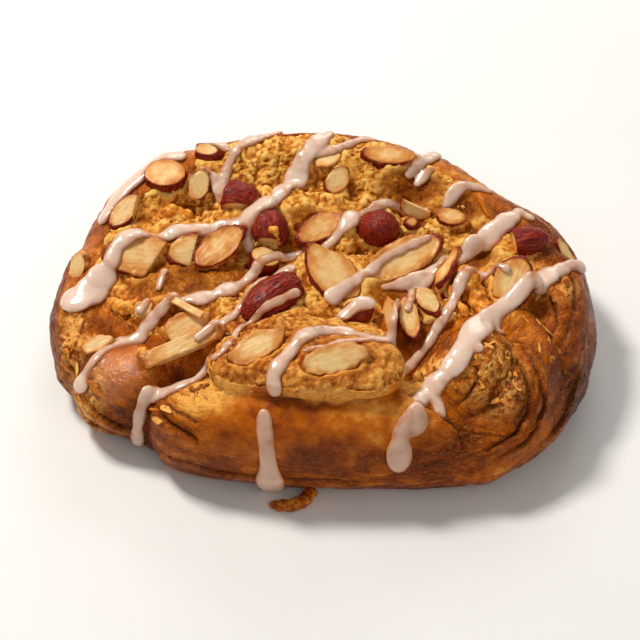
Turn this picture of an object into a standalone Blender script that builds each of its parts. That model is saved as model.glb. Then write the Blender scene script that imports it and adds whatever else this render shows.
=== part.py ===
"""Bear claw pastry: rolls of laminated dough round an almond filling, cut almonds set in its top,
and thick strands of icing across it. Metres, +Z up, front at -Y, origin under the middle of the base."""

import math
import random

import bmesh
import bpy
from mathutils import Matrix, Vector, noise
from mathutils.bvhtree import BVHTree

MM = 0.001
VOXEL = 1.0 * MM
PASTRY_TRIANGLES = 4700
BALL_STEP = 3.0
SEED = 11
# The middle of the finished outline as laid out here, which ends up over the origin.
MIDDLE = (0.8, 2.0)

CRUMB_SCALE = 9.0
CRUMB_RELIEF = 1.3
LAYER_SCALE = 5.0
LAYER_RELIEF = 0.55

ICING_STEP = 4.0
ICING_ROUND = 1

POINT_TAPER = 0.42
# Sides round an almond's middle, then along its length.
ALMOND_FINENESS = (8, 7)
SOCKET_FINENESS = (6, 6)
SOCKET_GAP = 0.85
SOCKET_RISE = 9.0

# Colour and roughness.
FINISHES = {
    "baked_dough": ((0.58, 0.29, 0.09), 0.45),
    "filling": ((0.66, 0.38, 0.13), 0.6),
    "almond": ((0.83, 0.60, 0.34), 0.6),
    "almond_skin": ((0.25, 0.06, 0.03), 0.55),
}

# The dough's rolls, in mm: points along the middle of each, then its half width and half height there.
ROLLS = {
    "front_flap": [
        ((-35, -36.5, 12), 12, 14),
        ((-20, -39, 14), 13.5, 17),
        ((4, -40.5, 14.5), 14, 17.5),
        ((24, -40.5, 12.5), 13.5, 15.5),
        ((36, -41, 10), 12, 12),
    ],
    "front_left_bun": [((-57, -23, 12), 11.5, 13.5), ((-50, -25, 13), 12.5, 14.5)],
    "left_side": [((-64, -13, 12), 10.5, 13), ((-65, -1, 14), 11.5, 14), ((-62, 12, 15), 12.5, 15)],
    "left_back": [((-59, 16, 14), 12.5, 16), ((-52, 31, 17.5), 13, 18.5), ((-43, 39.5, 19), 14, 20)],
    "back": [
        ((-36, 41, 18.5), 14.5, 20.5),
        ((-18, 44, 20), 14.5, 21.5),
        ((2, 45, 20.5), 14.5, 21.5),
        ((20, 42, 20), 15, 20.5),
    ],
    "right_back": [
        ((31, 40, 18.5), 14, 19),
        ((44, 31, 17), 14, 17.5),
        ((57, 22, 16), 14, 16),
        ((64, 12, 15), 12.5, 15),
    ],
    "right_side": [((65, 8, 14), 12.5, 14.5), ((66, -5, 13), 12, 14), ((63, -18, 12), 12, 13)],
    "right_front": [((61, -22, 11), 11.5, 12.5), ((53, -33, 10.5), 12, 11.5), ((42, -40, 11), 13, 12)],
    "claw_inner": [((42, -24, 19), 13, 14), ((36, -32, 17), 12, 14)],
    "claw_outer": [
        ((50, -8, 21), 8, 10),
        ((58, -17, 19), 8, 11),
        ((57, -29, 16), 8, 12),
        ((48, -39, 12), 8, 11),
    ],
    "sole_left": [
        ((0, 36, 5), 13, 7.5),
        ((-36, 30, 5), 13, 7.5),
        ((-51, 12, 5), 13, 7.5),
        ((-52, -12, 5), 13, 7.5),
        ((-34, -30, 5), 13, 7.5),
        ((0, -36, 5), 13, 7.5),
    ],
    "sole_right": [
        ((0, 36, 5), 13, 7.5),
        ((34, 32, 5), 13, 7.5),
        ((53, 12, 5), 13, 7.5),
        ((54, -14, 5), 13, 7.5),
        ((36, -34, 5), 13, 7.5),
        ((0, -36, 5), 13, 7.5),
    ],
}

# Mounds of filling inside the ring of rolls, in mm: middle, then half sizes.
MOUNDS = [
    ((0, 0, 14), (60, 40, 16)),
    ((0, 0, 8), (64, 44, 11)),
    ((-34, 4, 14), (32, 34, 16)),
    ((34, -1, 14), (30, 32, 16.5)),
    ((-8, 28, 24), (32, 17, 12.5)),
    ((16, 2, 23), (18, 11, 9.5)),
    ((-42, 20, 22), (17, 13, 11)),
    ((-52, -1, 18), (15, 18, 11)),
    ((34, 22, 20), (20, 14, 11)),
    ((50, 2, 19), (14, 17, 12)),
    ((-5, -33, 26), (25, 12, 7.5)),
    ((-3, -23, 24), (25, 13, 11)),
]

# Where the almond filling is, in mm: blobs, each with all that is over it. With the nub, a low ridge
# that stands out at the front, they part the filling from the dough.
FILLING = [
    ((0, 17, 29), (50, 30, 13)),
    ((-38, 8, 27), (25, 25, 12)),
    ((34, 7, 28), (24, 21, 12)),
    ((-5, 36, 34), (32, 15, 13)),
    ((-4, -22, 29), (25, 13, 9)),
]
NUB = [((-21, -32, 32), 9, 5.5), ((-4, -34.5, 34), 10, 5.5), ((13, -34.5, 33.5), 10, 5.5)]
COLUMN = (0, 6, 12, 18, 24)
FILLING_TRIANGLES = 420
FILLING_GAP = 0.3

LUMPS = 90
LUMP_FIELD = (54, 30)
LUMP_RADIUS = (2.5, 6.0)

# Cut almonds. Each is a whole almond of the given length, width and thickness in mm, with its point
# towards its own +X. It is first cut to a layer between two heights, then by upright planes, each given
# by the way it faces in degrees and its distance from the almond's middle. Last come its place in mm,
# and in degrees its turn in its own plane, its tip to the front and its tip to the right.
WHOLE = (-99, 99)
ALMONDS = {
    "half_upright_left": ((24, 12, 10), WHOLE, [(0, 0.5)], (-44.3, 34.8, 39.5), (90, 97, 0)),
    "slice_upright_left": ((10, 6.5, 8), (-0.9, 0.9), [], (-34.7, 32.3, 37.6), (70, 38, 14)),
    "wedge_left_back": ((13.5, 7, 8), (-1.5, 1.5), [(-60, 2.5)], (-55.0, 25.0, 34.0), (45, 25, -12)),
    "slice_left_rim": ((9, 6, 7), (-0.9, 0.9), [], (-68.0, 9.5, 27.6), (72, 40, -35)),
    "slice_left_square": ((24, 12.5, 10), (-1.4, 1.4), [(-28, 3.6)], (-49.5, 9.5, 31.2), (-4, 26, 0)),
    "slice_left_middle": ((20, 10.5, 9), (-1.4, 1.4), [(-15, -1.4), (165, 8.2)],
                          (-34.0, 12.0, 30.6), (2, 30, 6)),
    "slice_left_oval": ((18.5, 9.5, 10), (-1.5, 1.5), [], (-28.0, 11.3, 33.2), (42, 22, 2)),
    "chunk_dark_left": ((15.5, 10.5, 9), WHOLE, [(180, 4), (-80, 3.5), (-20, 5)],
                        (-23.2, 28.8, 35.3), (-18, 12, 0)),
    "half_dark_back": ((15, 10.5, 9.5), (-2.5, 9), [(155, 5.0)], (-14.6, 18.6, 34.0), (106, 18, 0)),
    "chunk_light_middle": ((20, 8.5, 7.5), WHOLE, [(0, 0.5)], (-15.4, 8.6, 31.8), (72, 88, 0)),
    "slice_middle_back": ((16, 8, 8), (-1.4, 1.4), [], (0.0, 18.5, 33.3), (33, 25, 0)),
    "wedge_middle": ((22, 13, 12), (-2.4, 1.5), [(155, 8.5), (-60, 5.5)],
                     (3.2, 1.8, 32.8), (126, 24, 8)),
    "rounded_middle": ((9.5, 7.5, 7), WHOLE, [], (10.6, -11.4, 30.4), (20, 10, 0)),
    "whole_middle": ((18, 12.5, 11), WHOLE, [], (16.5, 20.0, 31.5), (90, -47, 0)),
    "slice_large_right": ((25, 11, 11), (-1.4, 1.4), [], (24.0, 8.0, 32.2), (29, 22, 4)),
    "slice_back_right": ((17, 6.5, 9), (-1.4, 1.4), [], (20.0, 41.0, 40.0), (-3, 15, 4)),
    "chip_curl_back": ((8.5, 6, 7), (-0.8, 0.8), [], (2.2, 40.0, 40.0), (20, 10, 0)),
    "chip_back": ((9.5, 6.5, 7), (-0.9, 0.9), [], (5.0, 34.0, 37.6), (50, 30, 10)),
    "skin_curl_back": ((10.5, 6, 7), (-0.9, 0.9), [(90, 1)], (27.4, 26.4, 33.6), (-26, 66, 0)),
    "chunk_back": ((5.2, 4, 4), (-1.4, 1.4), [], (26.2, 21.4, 32.2), (-8, 15, 0)),
    "slice_right_back": ((9.5, 5.8, 7), (-1.0, 1.0), [], (37.5, 23.0, 33.2), (-12, 18, 0)),
    "chunk_rough_right": ((13, 9, 8), WHOLE, [(180, 4), (70, 3)], (58.5, 15.2, 31.8), (14, 0, 0)),
    "wedge_right": ((17, 12.5, 11), (-2.6, 1.7), [(180, 6), (110, 5)], (53.2, -1.8, 32.4), (64, 28, -4)),
    "slice_standing_right": ((15, 7, 8), (-1.0, 1.0), [], (35.8, 2.4, 34.0), (52, -20, -44)),
    "slice_leaning_right": ((12, 6, 7), (-0.9, 0.9), [(90, 1)], (38.4, -1.6, 31.4), (44, 30, 8)),
    "chip_right": ((10.5, 6, 7), (-1.2, 1.2), [(150, 4)], (29.6, -9.0, 32.4), (-56, 20, 0)),
    "slice_low_right": ((14.5, 6, 7.5), (-1.0, 1.0), [], (24.2, -13.5, 31.0), (100, 12, 0)),
    "slice_edge_right": ((15.5, 6.5, 7), (-0.8, 0.8), [(90, 2)], (19.2, -12.6, 31.2), (97, -6, -62)),
    "slice_nub_left": ((17.5, 8, 8), (-1.0, 1.0), [], (-16.5, -30.5, 37.6), (31, 24, 0)),
    "slice_nub_right": ((19, 8.5, 9), (-1.3, 1.3), [], (4.4, -36.0, 38.8), (14, 32, 0)),
    "stick_left": ((26, 12, 9), (-2.0, 2.0), [(90, 2.3), (-90, 2.3), (180, 11.6)],
                   (-37.5, -22.5, 28.6), (24, 24, 0)),
    "slice_behind_stick": ((16, 8.5, 9), (-1.1, 1.1), [(180, 5)], (-37.0, -15.3, 28.2), (27, 24, 0)),
    "splinter_left": ((26, 12, 9), (-0.7, 0.7), [(90, 1.1), (-90, 1.1), (0, 6), (180, 6)],
                      (-37.2, -10.6, 32.2), (-34, 12, 0)),
    "slice_left_low": ((9.5, 5, 7), (-0.9, 0.9), [], (-61.0, -18.0, 24.8), (20, 22, -10)),
    "chip_left": ((6.5, 4.8, 6), (-0.8, 0.8), [], (-48.7, -9.2, 28.9), (38, 25, 0)),
    "broken_dark_middle": ((22.5, 11.5, 10), (-2.5, 9), [(-10, 7.6)], (-12.2, -5.8, 31.0), (37, 16, 0)),
    "chunk_back_left": ((10, 5.2, 6), (-1.8, 1.8), [(180, 3.5)], (-32.5, 43.2, 39.6), (-6, 10, 0)),
    "slice_right_rim": ((8.5, 4.6, 7), (-0.8, 0.8), [], (69.4, 16.2, 26.6), (-38, 10, 40)),
}
SKINNED = ["chunk_dark_left", "half_dark_back", "whole_middle", "skin_curl_back", "chunk_rough_right",
           "broken_dark_middle"]

# Strands of icing seen from above, in mm: the points they pass over, each with the strand's half width.
ICING = {
    "left_loop": [(-69, -3, 3.2), (-64.5, 0, 4.0), (-61, 5, 3.0), (-59, 10, 1.4), (-56, 16, 1.9),
                  (-52, 19, 1.9), (-45, 20, 1.7), (-37, 22, 1.8), (-30, 24.5, 1.9), (-23, 22.5, 1.6)],
    "back_long": [(-20, 15.5, 0.9), (-20.5, 19, 1.2), (-20, 22.5, 2.6), (-14.5, 28.5, 2.0),
                  (-10.5, 33.5, 2.6), (-8, 37, 2.4), (-5.5, 41, 2.2), (-2, 45, 2.0), (2, 49.5, 2.0)],
    "back_branch": [(-1, 41, 1.4), (4, 42.5, 1.4), (9, 46, 1.2), (12, 48.5, 1.1), (16.5, 48.5, 0.9)],
    "left_rim": [(-62.5, 27, 1.6), (-58, 33, 2.0), (-53, 38, 2.2), (-48, 42, 2.2), (-42, 44.5, 2.0)],
    "back_left": [(-31, 33, 2.0), (-30, 36, 1.9), (-27.5, 39, 1.3), (-25, 42, 1.3), (-21, 46, 1.6),
                  (-16.5, 50, 1.5), (-12, 52.5, 1.0)],
    "left_long": [(-65, -28.5, 2.2), (-63.5, -26, 1.5), (-61, -23, 1.4), (-58, -19.5, 1.7),
                  (-54, -17, 2.1), (-50, -16, 2.1), (-47.5, -13, 1.9), (-44.5, -10.5, 1.7),
                  (-41, -8, 1.4), (-38.5, -5.5, 1.5), (-32.5, -4.5, 2.0), (-27, -2.5, 2.2),
                  (-23, 0.5, 1.8), (-19, 4, 1.5), (-14.5, 8, 1.5), (-10, 11, 1.7), (-5.5, 12.5, 1.4)],
    "middle_back": [(2, 15, 1.6), (6, 17.5, 1.8), (9.5, 21, 1.8), (13, 25, 1.6), (17, 28, 1.5),
                    (22, 31, 1.2)],
    "middle_left": [(-26.5, -14, 1.4), (-23.5, -11, 1.5), (-21, -7, 1.4), (-18, -3.5, 1.4),
                    (-15, -1, 1.4), (-12, 3, 1.4), (-8.5, 4.5, 1.7)],
    "nub_side": [(-32, -25, 1.0), (-28, -31.5, 1.2), (-24.5, -28, 1.1), (-22.5, -17.5, 1.0),
                 (-19, -14.5, 1.0), (-15, -12, 1.2), (-11, -10, 1.3), (-6.5, -7, 1.2)],
    "nub_long": [(-12, -42.5, 2.3), (-12, -40, 2.0), (-9.5, -36, 1.9), (-6, -31, 1.9),
                 (-2.5, -26, 1.9), (2, -23, 1.9), (7, -23, 1.9), (11, -26, 1.6), (15, -28, 1.5),
                 (18, -26, 1.5)],
    "nub_right": [(18, -26, 1.6), (19.5, -20, 1.2), (20.5, -13, 1.1), (21.5, -5, 1.0)],
    "wedge_strand": [(3, -4, 2.2), (7, -1, 1.8), (11, 3, 1.5), (15, 11, 1.4), (19.5, 16, 1.3),
                     (24, 19, 1.2), (28.5, 20, 1.0)],
    "middle_drop": [(5.5, -12, 2.0), (6.5, -9, 2.6), (9, -6.5, 2.8), (12, -5.5, 2.2)],
    "right_wide": [(18, -1, 1.2), (24, 3, 1.5), (29, 7.5, 1.8), (34.5, 11.5, 1.9), (39, 14.5, 2.0),
                   (44, 18.5, 2.4), (49, 21.5, 2.4), (54, 24, 1.9)],
    "right_inner": [(24, -12, 1.2), (25.5, -5, 1.6), (28, -1, 1.9), (32, 3.5, 1.7), (36, 8.5, 1.5),
                    (39, 13.5, 1.3)],
    "right_thin": [(18, -26, 1.2), (21, -23, 1.0), (24, -19, 1.2), (28.5, -17, 1.2), (31.5, -13, 1.1),
                   (33.5, -9.5, 1.1), (36, -6.5, 1.1), (39, -2, 1.1), (42.5, 3, 1.2), (46, 6.5, 1.1),
                   (49, 4, 1.1), (52.5, 3.5, 1.0)],
    "right_long": [(74, 11, 1.8), (71, 9.5, 1.9), (67, 6.5, 1.9), (63.5, 4.5, 2.4), (61.5, 1, 2.4),
                   (58, -2.5, 2.2), (52.5, -8, 2.1), (47.5, -12, 2.3), (43.5, -18, 2.9),
                   (39.5, -25, 2.7), (37, -30, 2.4), (34, -33.5, 2.4), (30.5, -36, 2.2),
                   (28, -38.5, 2.0), (25.5, -42.5, 1.8)],
    "right_fork": [(28, -38, 1.8), (30, -43, 1.3)],
    "left_fall": [(-32.5, -27.5, 1.2), (-36, -28.5, 1.6), (-39.5, -30, 1.9), (-42.5, -32.5, 1.9)],
    "back_drop": [(25.5, 37, 1.2), (28, 40.5, 2.2), (31, 44, 2.4), (33, 46, 2.0)],
    "right_back_hook": [(36, 28, 1.6), (37.5, 30, 1.7), (39.5, 32, 1.7), (42.5, 33.5, 1.6),
                        (46, 34, 1.3), (49, 33.5, 1.0)],
    "right_back_drop": [(57, 26.5, 1.8), (60, 25, 1.4)],
    "left_drop": [(-43.5, 4, 1.2), (-45, -1, 1.0)],
}

# Drips down the front, in mm across and above the base, each point with the drip's half width.
DRIPS = {
    "drip_right": [(25, 29, 1.8), (23, 27, 2.0), (21.5, 25, 2.4), (21, 22, 2.7), (21, 17, 2.7)],
    "drop_right": [(25.5, 29, 2.0), (25.7, 26.5, 2.6), (24.5, 25, 2.4)],
    "drip_middle": [(-14.7, 29, 2.0), (-14.5, 26, 2.1), (-14, 21, 2.3), (-13.6, 15, 2.7),
                    (-13.2, 6, 3.2), (-13, 2.5, 3.2)],
    "drip_left": [(-42, 24, 1.9), (-43.5, 20, 1.9), (-44, 15, 2.0), (-44, 9, 2.2), (-44, 3, 2.2)],
}


def clear_scene():
    """Removes every object."""
    for item in list(bpy.data.objects):
        bpy.data.objects.remove(item)


def along(points, share):
    """Smooth position at a share of the way through a list of vectors, by Catmull-Rom."""
    place = share * (len(points) - 1)
    i = min(int(place), len(points) - 2)
    t = place - i
    a, b = points[i], points[i + 1]
    before = points[i - 1] if i > 0 else a * 2 - b
    after = points[i + 2] if i + 2 < len(points) else b * 2 - a
    bend = 2 * before - 5 * a + 4 * b - after
    twist = 3 * a - before - 3 * b + after
    return 0.5 * (2 * a + (b - before) * t + bend * t**2 + twist * t**3)


def add_ball(mesh, middle, half_sizes, fineness=3):
    """Adds an ellipsoid to a bmesh, its middle and half sizes in mm."""
    place = Matrix.Translation(Vector(middle) * MM) @ Matrix.Diagonal((*(Vector(half_sizes) * MM), 1.0))
    bmesh.ops.create_icosphere(mesh, subdivisions=fineness, radius=1.0, matrix=place)


def add_roll(mesh, stations, lift=0):
    """Adds a roll of dough as a chain of ellipsoids that follows its stations, lifted by some mm."""
    # Each station is one 5-vector, so that its place and its half sizes are blended alike.
    rows = [Vector((*middle, wide, tall)) for middle, wide, tall in stations]
    run = sum((Vector(b[:3]) - Vector(a[:3])).length for a, b in zip(rows, rows[1:]))
    steps = max(2, math.ceil(run / BALL_STEP))
    for i in range(steps + 1):
        x, y, z, wide, tall = along(rows, i / steps)
        add_ball(mesh, (x, y, z + lift), (wide, wide, tall))


def add_lumps(mesh, surface_height):
    """Scatters lumps of filling over the middle of the top."""
    draw = random.Random(SEED)
    for _ in range(LUMPS):
        turn, reach = draw.uniform(0, math.tau), math.sqrt(draw.random())
        x, y = LUMP_FIELD[0] * reach * math.cos(turn), 2 + LUMP_FIELD[1] * reach * math.sin(turn)
        size = draw.uniform(*LUMP_RADIUS)
        add_ball(mesh, (x, y, surface_height(x, y) - 0.35 * size), (size, size * 0.9, size * 0.7), 2)


def main_island(mesh):
    """Deletes every island of a bmesh but the widest: scraps, and the walls of sealed hollows."""
    unseen = set(mesh.verts)
    islands = []
    while unseen:
        grown, edge = set(), [next(iter(unseen))]
        while edge:
            vert = edge.pop()
            if vert in grown:
                continue
            grown.add(vert)
            edge.extend(e.other_vert(vert) for e in vert.link_edges)
        unseen -= grown
        islands.append(grown)
    widest = max(islands, key=lambda found: max(v.co.x for v in found) - min(v.co.x for v in found))
    bmesh.ops.delete(mesh, geom=[v for v in mesh.verts if v not in widest], context="VERTS")


def finished(obj):
    """A new mesh of the object with its modifiers applied, and the modifiers cleared."""
    bpy.context.view_layer.update()
    made = bpy.data.meshes.new_from_object(obj.evaluated_get(bpy.context.evaluated_depsgraph_get()))
    obj.modifiers.clear()
    obj.data = made
    return made


def object_of(mesh, name, collection):
    """Turns a bmesh into a linked object."""
    data = bpy.data.meshes.new(name)
    mesh.to_mesh(data)
    mesh.free()
    obj = bpy.data.objects.new(name, data)
    collection.objects.link(obj)
    return obj


def in_bmesh(obj, work):
    """Runs work on the object's mesh as a bmesh."""
    mesh = bmesh.new()
    mesh.from_mesh(obj.data)
    work(mesh)
    mesh.to_mesh(obj.data)
    mesh.free()


def skin_over(obj):
    """Makes one skin of overlapping shapes."""
    skin = obj.modifiers.new("Skin", "REMESH")
    skin.mode = "VOXEL"
    skin.voxel_size = VOXEL
    finished(obj)
    in_bmesh(obj, main_island)


def fuse(obj, smoothing):
    """Makes one skin of overlapping shapes and softens it."""
    skin_over(obj)
    soft = obj.modifiers.new("Soft", "SMOOTH")
    soft.factor = 0.5
    soft.iterations = smoothing
    finished(obj)


def tree_of(obj):
    """A search tree of the object's faces."""
    mesh = bmesh.new()
    mesh.from_mesh(obj.data)
    tree = BVHTree.FromBMesh(mesh)
    mesh.free()
    return tree


def height_on(tree):
    """A function that gives the height of the top, in mm, over a place in mm."""
    def height(x, y):
        hit = tree.ray_cast(Vector((x * MM, y * MM, 0.1)), Vector((0, 0, -1)))[0]
        return hit.z / MM if hit else 0.0
    return height


def roughen(mesh):
    """Crumb on the top of the filling, and lengthwise layers in the dough."""
    mesh.normal_update()
    moves = []
    for vert in mesh.verts:
        x, y, z = vert.co / MM
        inside = max(0.0, 1 - ((x / 64) ** 2 + ((y - 1) / 44) ** 2)) * max(0.0, vert.normal.z)
        crumb = noise.fractal(Vector((x, y, z)) / CRUMB_SCALE, 0.9, 2.0, 2)
        layer = noise.noise(Vector((x / 16, y / 16, z / LAYER_SCALE)))
        move = CRUMB_RELIEF * min(1.0, 2.2 * inside) * crumb + LAYER_RELIEF * layer
        moves.append(vert.normal * move * MM)
    for vert, move in zip(mesh.verts, moves):
        vert.co += move


def flatten_base(mesh):
    """Cuts the pastry off flat at the floor."""
    whole = mesh.verts[:] + mesh.edges[:] + mesh.faces[:]
    cut = bmesh.ops.bisect_plane(mesh, geom=whole, plane_co=(0, 0, 0), plane_no=(0, 0, -1),
                                 clear_outer=True)
    edges = [e for e in cut["geom_cut"] if isinstance(e, bmesh.types.BMEdge)]
    bmesh.ops.contextual_create(mesh, geom=edges)


def build_dough(collection):
    mesh = bmesh.new()
    for stations in ROLLS.values():
        add_roll(mesh, stations)
    add_roll(mesh, NUB)
    for middle, half_sizes in MOUNDS:
        add_ball(mesh, middle, half_sizes, 4)
    dough = object_of(mesh, "dough", collection)
    fuse(dough, 3)
    heights = height_on(tree_of(dough))
    in_bmesh(dough, lambda m: add_lumps(m, heights))
    fuse(dough, 3)
    in_bmesh(dough, roughen)
    return dough


def cut_off(mesh, normal, offset):
    """Cuts a convex bmesh off flat, at a distance in mm from its middle, on the side the normal points to."""
    whole = mesh.verts[:] + mesh.edges[:] + mesh.faces[:]
    cut = bmesh.ops.bisect_plane(mesh, geom=whole, dist=1e-6, plane_co=normal * offset * MM,
                                 plane_no=normal, clear_outer=True)
    rim = [e for e in cut["geom_cut"] if isinstance(e, bmesh.types.BMEdge)]
    bmesh.ops.contextual_create(mesh, geom=rim)


def almond_mesh(size, layer, cuts, fineness, margin=0.0):
    """A bmesh of one almond in metres, larger by a margin all round: drawn to a point at +X, then cut."""
    mesh = bmesh.new()
    around, lengthwise = fineness
    # The half step leaves a flat band, not a row of corners, round the edge of a thin slice.
    half_step = math.pi / around
    turned = Matrix.Rotation(half_step, 4, "X") @ Matrix.Rotation(math.pi / 2, 4, "Y")
    bmesh.ops.create_uvsphere(mesh, u_segments=around, v_segments=lengthwise, radius=1.0, matrix=turned)
    half = (Vector(size) / 2 + Vector((margin, margin, margin))) * MM
    for vert in mesh.verts:
        x, y, z = vert.co
        # The flats, not the corners, are drawn at the full width.
        narrow = (1 - POINT_TAPER * max(0.0, x) ** 2) / math.cos(half_step)
        vert.co = (x * half.x, y * narrow * half.y, z * narrow * half.z)
    cut_off(mesh, Vector((0, 0, -1)), margin - layer[0])
    cut_off(mesh, Vector((0, 0, 1)), margin + layer[1])
    for facing, offset in cuts:
        angle = math.radians(facing)
        cut_off(mesh, Vector((math.cos(angle), math.sin(angle), 0)), margin + offset)
    bmesh.ops.remove_doubles(mesh, verts=mesh.verts, dist=0.12 * MM)
    bmesh.ops.recalc_face_normals(mesh, faces=mesh.faces)
    return mesh


def turn_and_place(place, turns):
    """The matrix that turns an almond in its own plane, tips it to the front and right, and places it."""
    turn, to_front, to_right = (math.radians(angle) for angle in turns)
    turned = Matrix.Rotation(turn, 4, "Z")
    tipped = Matrix.Rotation(to_front, 4, "X") @ Matrix.Rotation(to_right, 4, "Y")
    return Matrix.Translation(Vector(place) * MM) @ tipped @ turned


def add_socket(sockets, almond):
    """Adds the hollow that an almond lies in, open to above: the given larger almond, drawn upwards."""
    mesh = bmesh.new()
    for vert in almond.verts:
        mesh.verts.new(vert.co)
        mesh.verts.new(vert.co + Vector((0, 0, SOCKET_RISE * MM)))
    almond.free()
    hull = bmesh.ops.convex_hull(mesh, input=mesh.verts)
    spare = {v for v in hull["geom_interior"] + hull["geom_unused"] if isinstance(v, bmesh.types.BMVert)}
    bmesh.ops.delete(mesh, geom=list(spare), context="VERTS")
    bmesh.ops.recalc_face_normals(mesh, faces=mesh.faces)
    object_of(mesh, f"socket_{len(sockets.objects)}", sockets)


def build_almonds(pastry, sockets):
    """Makes every almond piece, and the hollow for each."""
    for name, (size, layer, cuts, place, turns) in ALMONDS.items():
        placed = turn_and_place(place, turns)
        hollow = almond_mesh(size, layer, cuts, SOCKET_FINENESS, SOCKET_GAP)
        hollow.transform(placed)
        add_socket(sockets, hollow)
        mesh = almond_mesh(size, layer, cuts, ALMOND_FINENESS)
        mesh.transform(placed)
        almond = object_of(mesh, name, pastry)
        almond.data.materials.append(finish("almond_skin" if name in SKINNED else "almond"))


def lay_strand(name, points, cast, collection):
    """A strand of icing as a bevelled curve along points on the pastry's surface, then as a mesh."""
    rows = [Vector(point) for point in points]
    run = sum((Vector(b[:2]) - Vector(a[:2])).length for a, b in zip(rows, rows[1:]))
    steps = max(2, math.ceil(run / ICING_STEP))
    stations = []
    for i in range(steps + 1):
        a, b, half = along(rows, i / steps)
        spot = cast(a, b)
        if spot is not None:
            stations.append((spot, half))
    curve = bpy.data.curves.new(name, "CURVE")
    curve.dimensions = "3D"
    curve.bevel_depth = MM
    curve.bevel_resolution = ICING_ROUND
    curve.use_fill_caps = True
    spline = curve.splines.new("POLY")
    spline.points.add(len(stations) - 1)
    for point, (spot, half) in zip(spline.points, stations):
        point.co = (*spot, 1.0)
        point.radius = half
    guide = bpy.data.objects.new(name + "_path", curve)
    collection.objects.link(guide)
    bpy.context.view_layer.update()
    data = bpy.data.meshes.new_from_object(guide.evaluated_get(bpy.context.evaluated_depsgraph_get()))
    bpy.data.objects.remove(guide)
    strand = bpy.data.objects.new(name, data)
    collection.objects.link(strand)
    in_bmesh(strand, close_strand)


def close_strand(mesh):
    """Welds a strand's end caps to it."""
    bmesh.ops.remove_doubles(mesh, verts=mesh.verts, dist=0.01 * MM)
    bmesh.ops.recalc_face_normals(mesh, faces=mesh.faces)


def build_icing(dough, icing):
    """Lays every strand on the bare dough: on top by a sight line down, the drips by one from the front."""
    tree = tree_of(dough)

    def from_above(x, y):
        return tree.ray_cast(Vector((x, y, 100)) * MM, Vector((0, 0, -1)))[0]

    def from_front(x, z):
        return tree.ray_cast(Vector((x, -100, z)) * MM, Vector((0, 1, 0)))[0]

    for name, points in ICING.items():
        lay_strand(name, points, from_above, icing)
    for name, points in DRIPS.items():
        lay_strand(name, points, from_front, icing)


def thin(obj, triangles):
    """Thins a mesh to a number of triangles."""
    obj.data.calc_loop_triangles()
    fewer = obj.modifiers.new("Thin", "DECIMATE")
    fewer.ratio = min(1.0, triangles / len(obj.data.loop_triangles))
    fewer.use_collapse_triangulate = True
    finished(obj)


def build_region(collection):
    """The space that the filling takes up, drawn up past the top of the pastry."""
    mesh = bmesh.new()
    for lift in COLUMN:
        add_roll(mesh, NUB, lift)
        for (x, y, z), half_sizes in FILLING:
            add_ball(mesh, (x, y, z + lift), half_sizes, 4)
    region = object_of(mesh, "filling_region", collection)
    fuse(region, 6)
    thin(region, FILLING_TRIANGLES)
    return region


def combine(obj, collection, operation):
    """Joins a collection's solids to an object, cuts them from it, or keeps only what lies in them."""
    join = obj.modifiers.new("Join", "BOOLEAN")
    join.operation = operation
    join.operand_type = "COLLECTION"
    join.collection = collection
    # The pastry is too dense here for the exact solver, and all the solids are closed.
    join.solver = "MANIFOLD"
    finished(obj)
    in_bmesh(obj, main_island)


def remove_tools(collection):
    """Removes the solids that have been joined or cut away."""
    for tool in list(collection.objects):
        bpy.data.objects.remove(tool)
    bpy.data.collections.remove(collection)


def part_filling(dough, pastry, region):
    """Parts the filling from the dough along the region's wall, with a narrow gap between them."""
    space = build_region(region)
    filling = bpy.data.objects.new("filling", dough.data.copy())
    pastry.objects.link(filling)
    combine(filling, region, "INTERSECT")
    wider = space.modifiers.new("Gap", "DISPLACE")
    wider.strength = FILLING_GAP * MM
    wider.mid_level = 0.0
    finished(space)
    combine(dough, region, "DIFFERENCE")
    return filling


def finish(name):
    """The material of one finish, made on its first use."""
    found = bpy.data.materials.get(name)
    if found:
        return found
    colour, roughness = FINISHES[name]
    material = bpy.data.materials.new(name)
    material.use_nodes = True
    shader = material.node_tree.nodes["Principled BSDF"]
    shader.inputs["Base Color"].default_value = (*colour, 1.0)
    shader.inputs["Roughness"].default_value = roughness
    shader.inputs["Metallic"].default_value = 0.0
    material.diffuse_color = (*colour, 1.0)
    return material


def collection_for(name):
    """A new collection in the scene."""
    made = bpy.data.collections.new(name)
    bpy.context.scene.collection.children.link(made)
    return made


def main():
    clear_scene()
    pastry = collection_for("bear_claw")
    icing = collection_for("icing")
    region = collection_for("region")
    sockets = collection_for("sockets")
    dough = build_dough(pastry)
    build_icing(dough, icing)
    combine(dough, icing, "UNION")
    remove_tools(icing)
    skin_over(dough)
    thin(dough, PASTRY_TRIANGLES)
    in_bmesh(dough, flatten_base)
    filling = part_filling(dough, pastry, region)
    remove_tools(region)
    build_almonds(pastry, sockets)
    for piece, surface in ((dough, "baked_dough"), (filling, "filling")):
        combine(piece, sockets, "DIFFERENCE")
        piece.data.materials.clear()
        piece.data.materials.append(finish(surface))
    remove_tools(sockets)
    for piece in pastry.objects:
        piece.data.transform(Matrix.Translation((-MIDDLE[0] * MM, -MIDDLE[1] * MM, 0)))


main()
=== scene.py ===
"""Looks of the bear claw pastry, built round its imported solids.

The tables hold real lengths in mm as laid out on the baking sheet: +X to the right, front at -Y, +Z up.
SHEET_MIDDLE is the point of that sheet that ends up over the origin.
"""

import logging
import math
import random
from dataclasses import dataclass, field
from enum import Enum
from typing import Callable, Optional

import bmesh
import bpy
import numpy as np
from mathutils import Matrix, Vector, noise
from mathutils.bvhtree import BVHTree
from mathutils.kdtree import KDTree


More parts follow.
